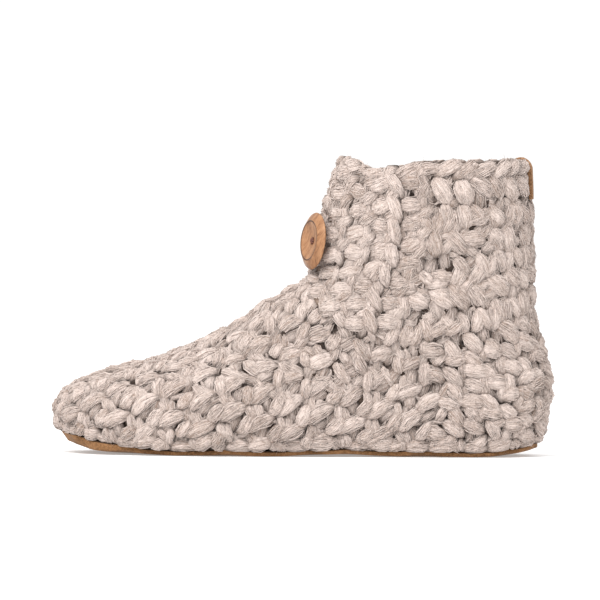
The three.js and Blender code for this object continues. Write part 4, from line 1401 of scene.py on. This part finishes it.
def makeWood():
    material, tree, shader = newMaterial("oiledWood")
    local = addNode(tree, "ShaderNodeMapping", vector_type="TEXTURE")
    setInputs(local, {"Location": buttonPlace.to_translation(), "Rotation": buttonPlace.to_euler()})
    tree.links.new(objectCoords(tree), local.inputs["Vector"])
    grain = noiseNode(tree, local.outputs[0], *woodLook["grain"])
    rings = noiseNode(tree, local.outputs[0], *woodLook["rings"])
    value = mathNode(tree, "MULTIPLY", rings, 1 - woodLook["share"])
    value = mathNode(tree, "MULTIPLY_ADD", grain, woodLook["share"], value)
    colour = colourRamp(tree, value, woodLook["stops"], woodLook["colours"])
    apart = addNode(tree, "ShaderNodeSeparateXYZ")
    tree.links.new(local.outputs[0], apart.inputs[0])
    flat = addNode(tree, "ShaderNodeCombineXYZ")
    tree.links.new(apart.outputs["X"], flat.inputs["X"])
    tree.links.new(apart.outputs["Y"], flat.inputs["Y"])
    length = addNode(tree, "ShaderNodeVectorMath", operation="LENGTH")
    tree.links.new(flat.outputs[0], length.inputs[0])
    grooveRadius = (button["face"] - button["grooveIn"]) * mm
    fromGroove = mathNode(tree, "SUBTRACT", length.outputs["Value"], grooveRadius)
    fromGroove = mathNode(tree, "ABSOLUTE", fromGroove, None)
    groove = rangeNode(tree, fromGroove, *woodLook["grooveRange"])
    tree.links.new(mixColours(tree, groove, colour, woodLook["groove"]), shader.inputs["Base Color"])
    addBump(tree, shader, grain, *woodLook["bump"])
    setInputs(shader, woodLook["finish"])
    return material


turned = turnedObject("woodButton", buttonProfile(), buttonPlace, button["steps"])
finishPiece(turned, makeWood(), "button")

# The knot of brown cord in the button's hole: three crossing loops on a shank of two strands
cordLook = {"noise": ((1800, 1800, 1800), 2.0), "stops": (0.35, 0.65), "bump": (0.4, 0.0002),
            "finish": {"Roughness": 0.6}}
waxedCord = makeMatted("waxedCord", cordLook, (0.05, 0.014, 0.008), (0.16, 0.05, 0.026))
knot = {"reach": 1.6, "rise": 1.1, "sink": 0.3, "thick": 0.68, "loops": 3, "steps": 9, "sides": 8,
        "lean": (0.3, 0.2), "bottom": -6.5, "strandApart": 0.55, "strandWave": 0.5}


def knotLines():
    top = button["thickness"] - button["dishDepth"]
    t = np.linspace(-1, 1, knot["steps"])
    out, up = knot["reach"] * t, top + knot["rise"] * (1 - t**2) - knot["sink"]
    lines = []
    for loop in range(knot["loops"]):
        turn = math.pi * loop / knot["loops"]
        lines.append(np.stack([out * math.cos(turn), out * math.sin(turn), up], -1))
    shank = knot["bottom"] + (top - knot["bottom"]) * (t + 1) / 2
    for side in (1, -1):
        apart = np.full(len(t), knot["strandApart"] * side)
        lines.append(np.stack([apart, knot["strandWave"] * np.sin(2 * t), shank], -1))
    return np.array(lines)


def knotObject():
    lines = knotLines()
    turned = np.array(buttonPlace.to_3x3())
    middle = np.array(buttonPlace.to_translation()) / mm - shift
    points = lines @ turned.T + middle
    lean = knot["lean"]  # so that no strand runs along its facing
    facing = np.broadcast_to(turned[:, 0] * lean[0] + turned[:, 1] * lean[1] + turned[:, 2], points.shape)
    half = np.full(points.shape[:2], knot["thick"])
    tubes = roundTubes(points, unit(facing), half, half, np.zeros(len(points)))
    return tubeMesh("buttonKnot", tubes, knot["sides"])


finishPiece(knotObject(), waxedCord, "button_knot")

# Floor, light and camera
studio = {"floorSize": 8, "worldStrength": 1.06}
floorFinish = {"Base Color": (0.8, 0.8, 0.8, 1), "Roughness": 0.9, "Emission Color": (1, 1, 1, 1),
               "Emission Strength": 0.3}
bm = bmesh.new()
bmesh.ops.create_grid(bm, x_segments=1, y_segments=1, size=studio["floorSize"])
floor = bmeshObject("floor", bm)
floorPaint, _, floorShader = newMaterial("floorPaint")
setInputs(floorShader, floorFinish)
floor.data.materials.append(floorPaint)

world = bpy.data.worlds.new("studio")
world.use_nodes = True
setInputs(world.node_tree.nodes["Background"], {"Color": (1, 1, 1, 1), "Strength": studio["worldStrength"]})
bpy.context.scene.world = world
bpy.context.scene.view_settings.view_transform = "Standard"


def addLight(name, location, target, size, power):
    data = bpy.data.lights.new(name, "AREA")
    data.shape, data.size, data.energy = "DISK", size, power
    light = addObject(name, data)
    light.location = location
    light.rotation_mode = "QUATERNION"
    light.rotation_quaternion = (Vector(target) - Vector(location)).to_track_quat("-Z", "Y")


addLight("keyLight", location=(0.6, 1.2, 1.5), target=(0, 0, 0.06), size=0.8, power=32)
addLight("topLight", location=(-0.2, -0.1, 1.8), target=(0, 0, 0), size=1.6, power=5)

# The photograph's frame: its scale, where the slipper's middle and the floor are in it, and the camera
photo = {"width": 600, "millimetresPerPixel": 0.528, "originX": 304, "floorY": 454, "elevation": 1.0,
         "roll": 0.4, "distance": 3.5, "sensor": 36, "clipEnd": 50}
cameraData = bpy.data.cameras.new("camera")
camera = addObject("camera", cameraData)
bpy.context.scene.camera = camera
scalePx = photo["millimetresPerPixel"] * mm
middlePx = photo["width"] / 2
aim = Vector(((photo["originX"] - middlePx) * scalePx, 0, (photo["floorY"] - middlePx) * scalePx))
tilt = math.radians(photo["elevation"])
towards = Vector((0, math.cos(tilt), math.sin(tilt)))
camera.location = aim + towards * photo["distance"]
camera.rotation_mode = "QUATERNION"
camera.rotation_quaternion = Matrix.Rotation(math.radians(photo["roll"]), 3, towards).to_quaternion() @ (
    -towards).to_track_quat("-Z", "Y")
cameraData.sensor_width = photo["sensor"]
cameraData.lens = photo["sensor"] * photo["distance"] / (photo["width"] * scalePx)
cameraData.clip_end = photo["clipEnd"]
print("camera: lens", round(cameraData.lens, 1), "mm at", photo["distance"], "m")
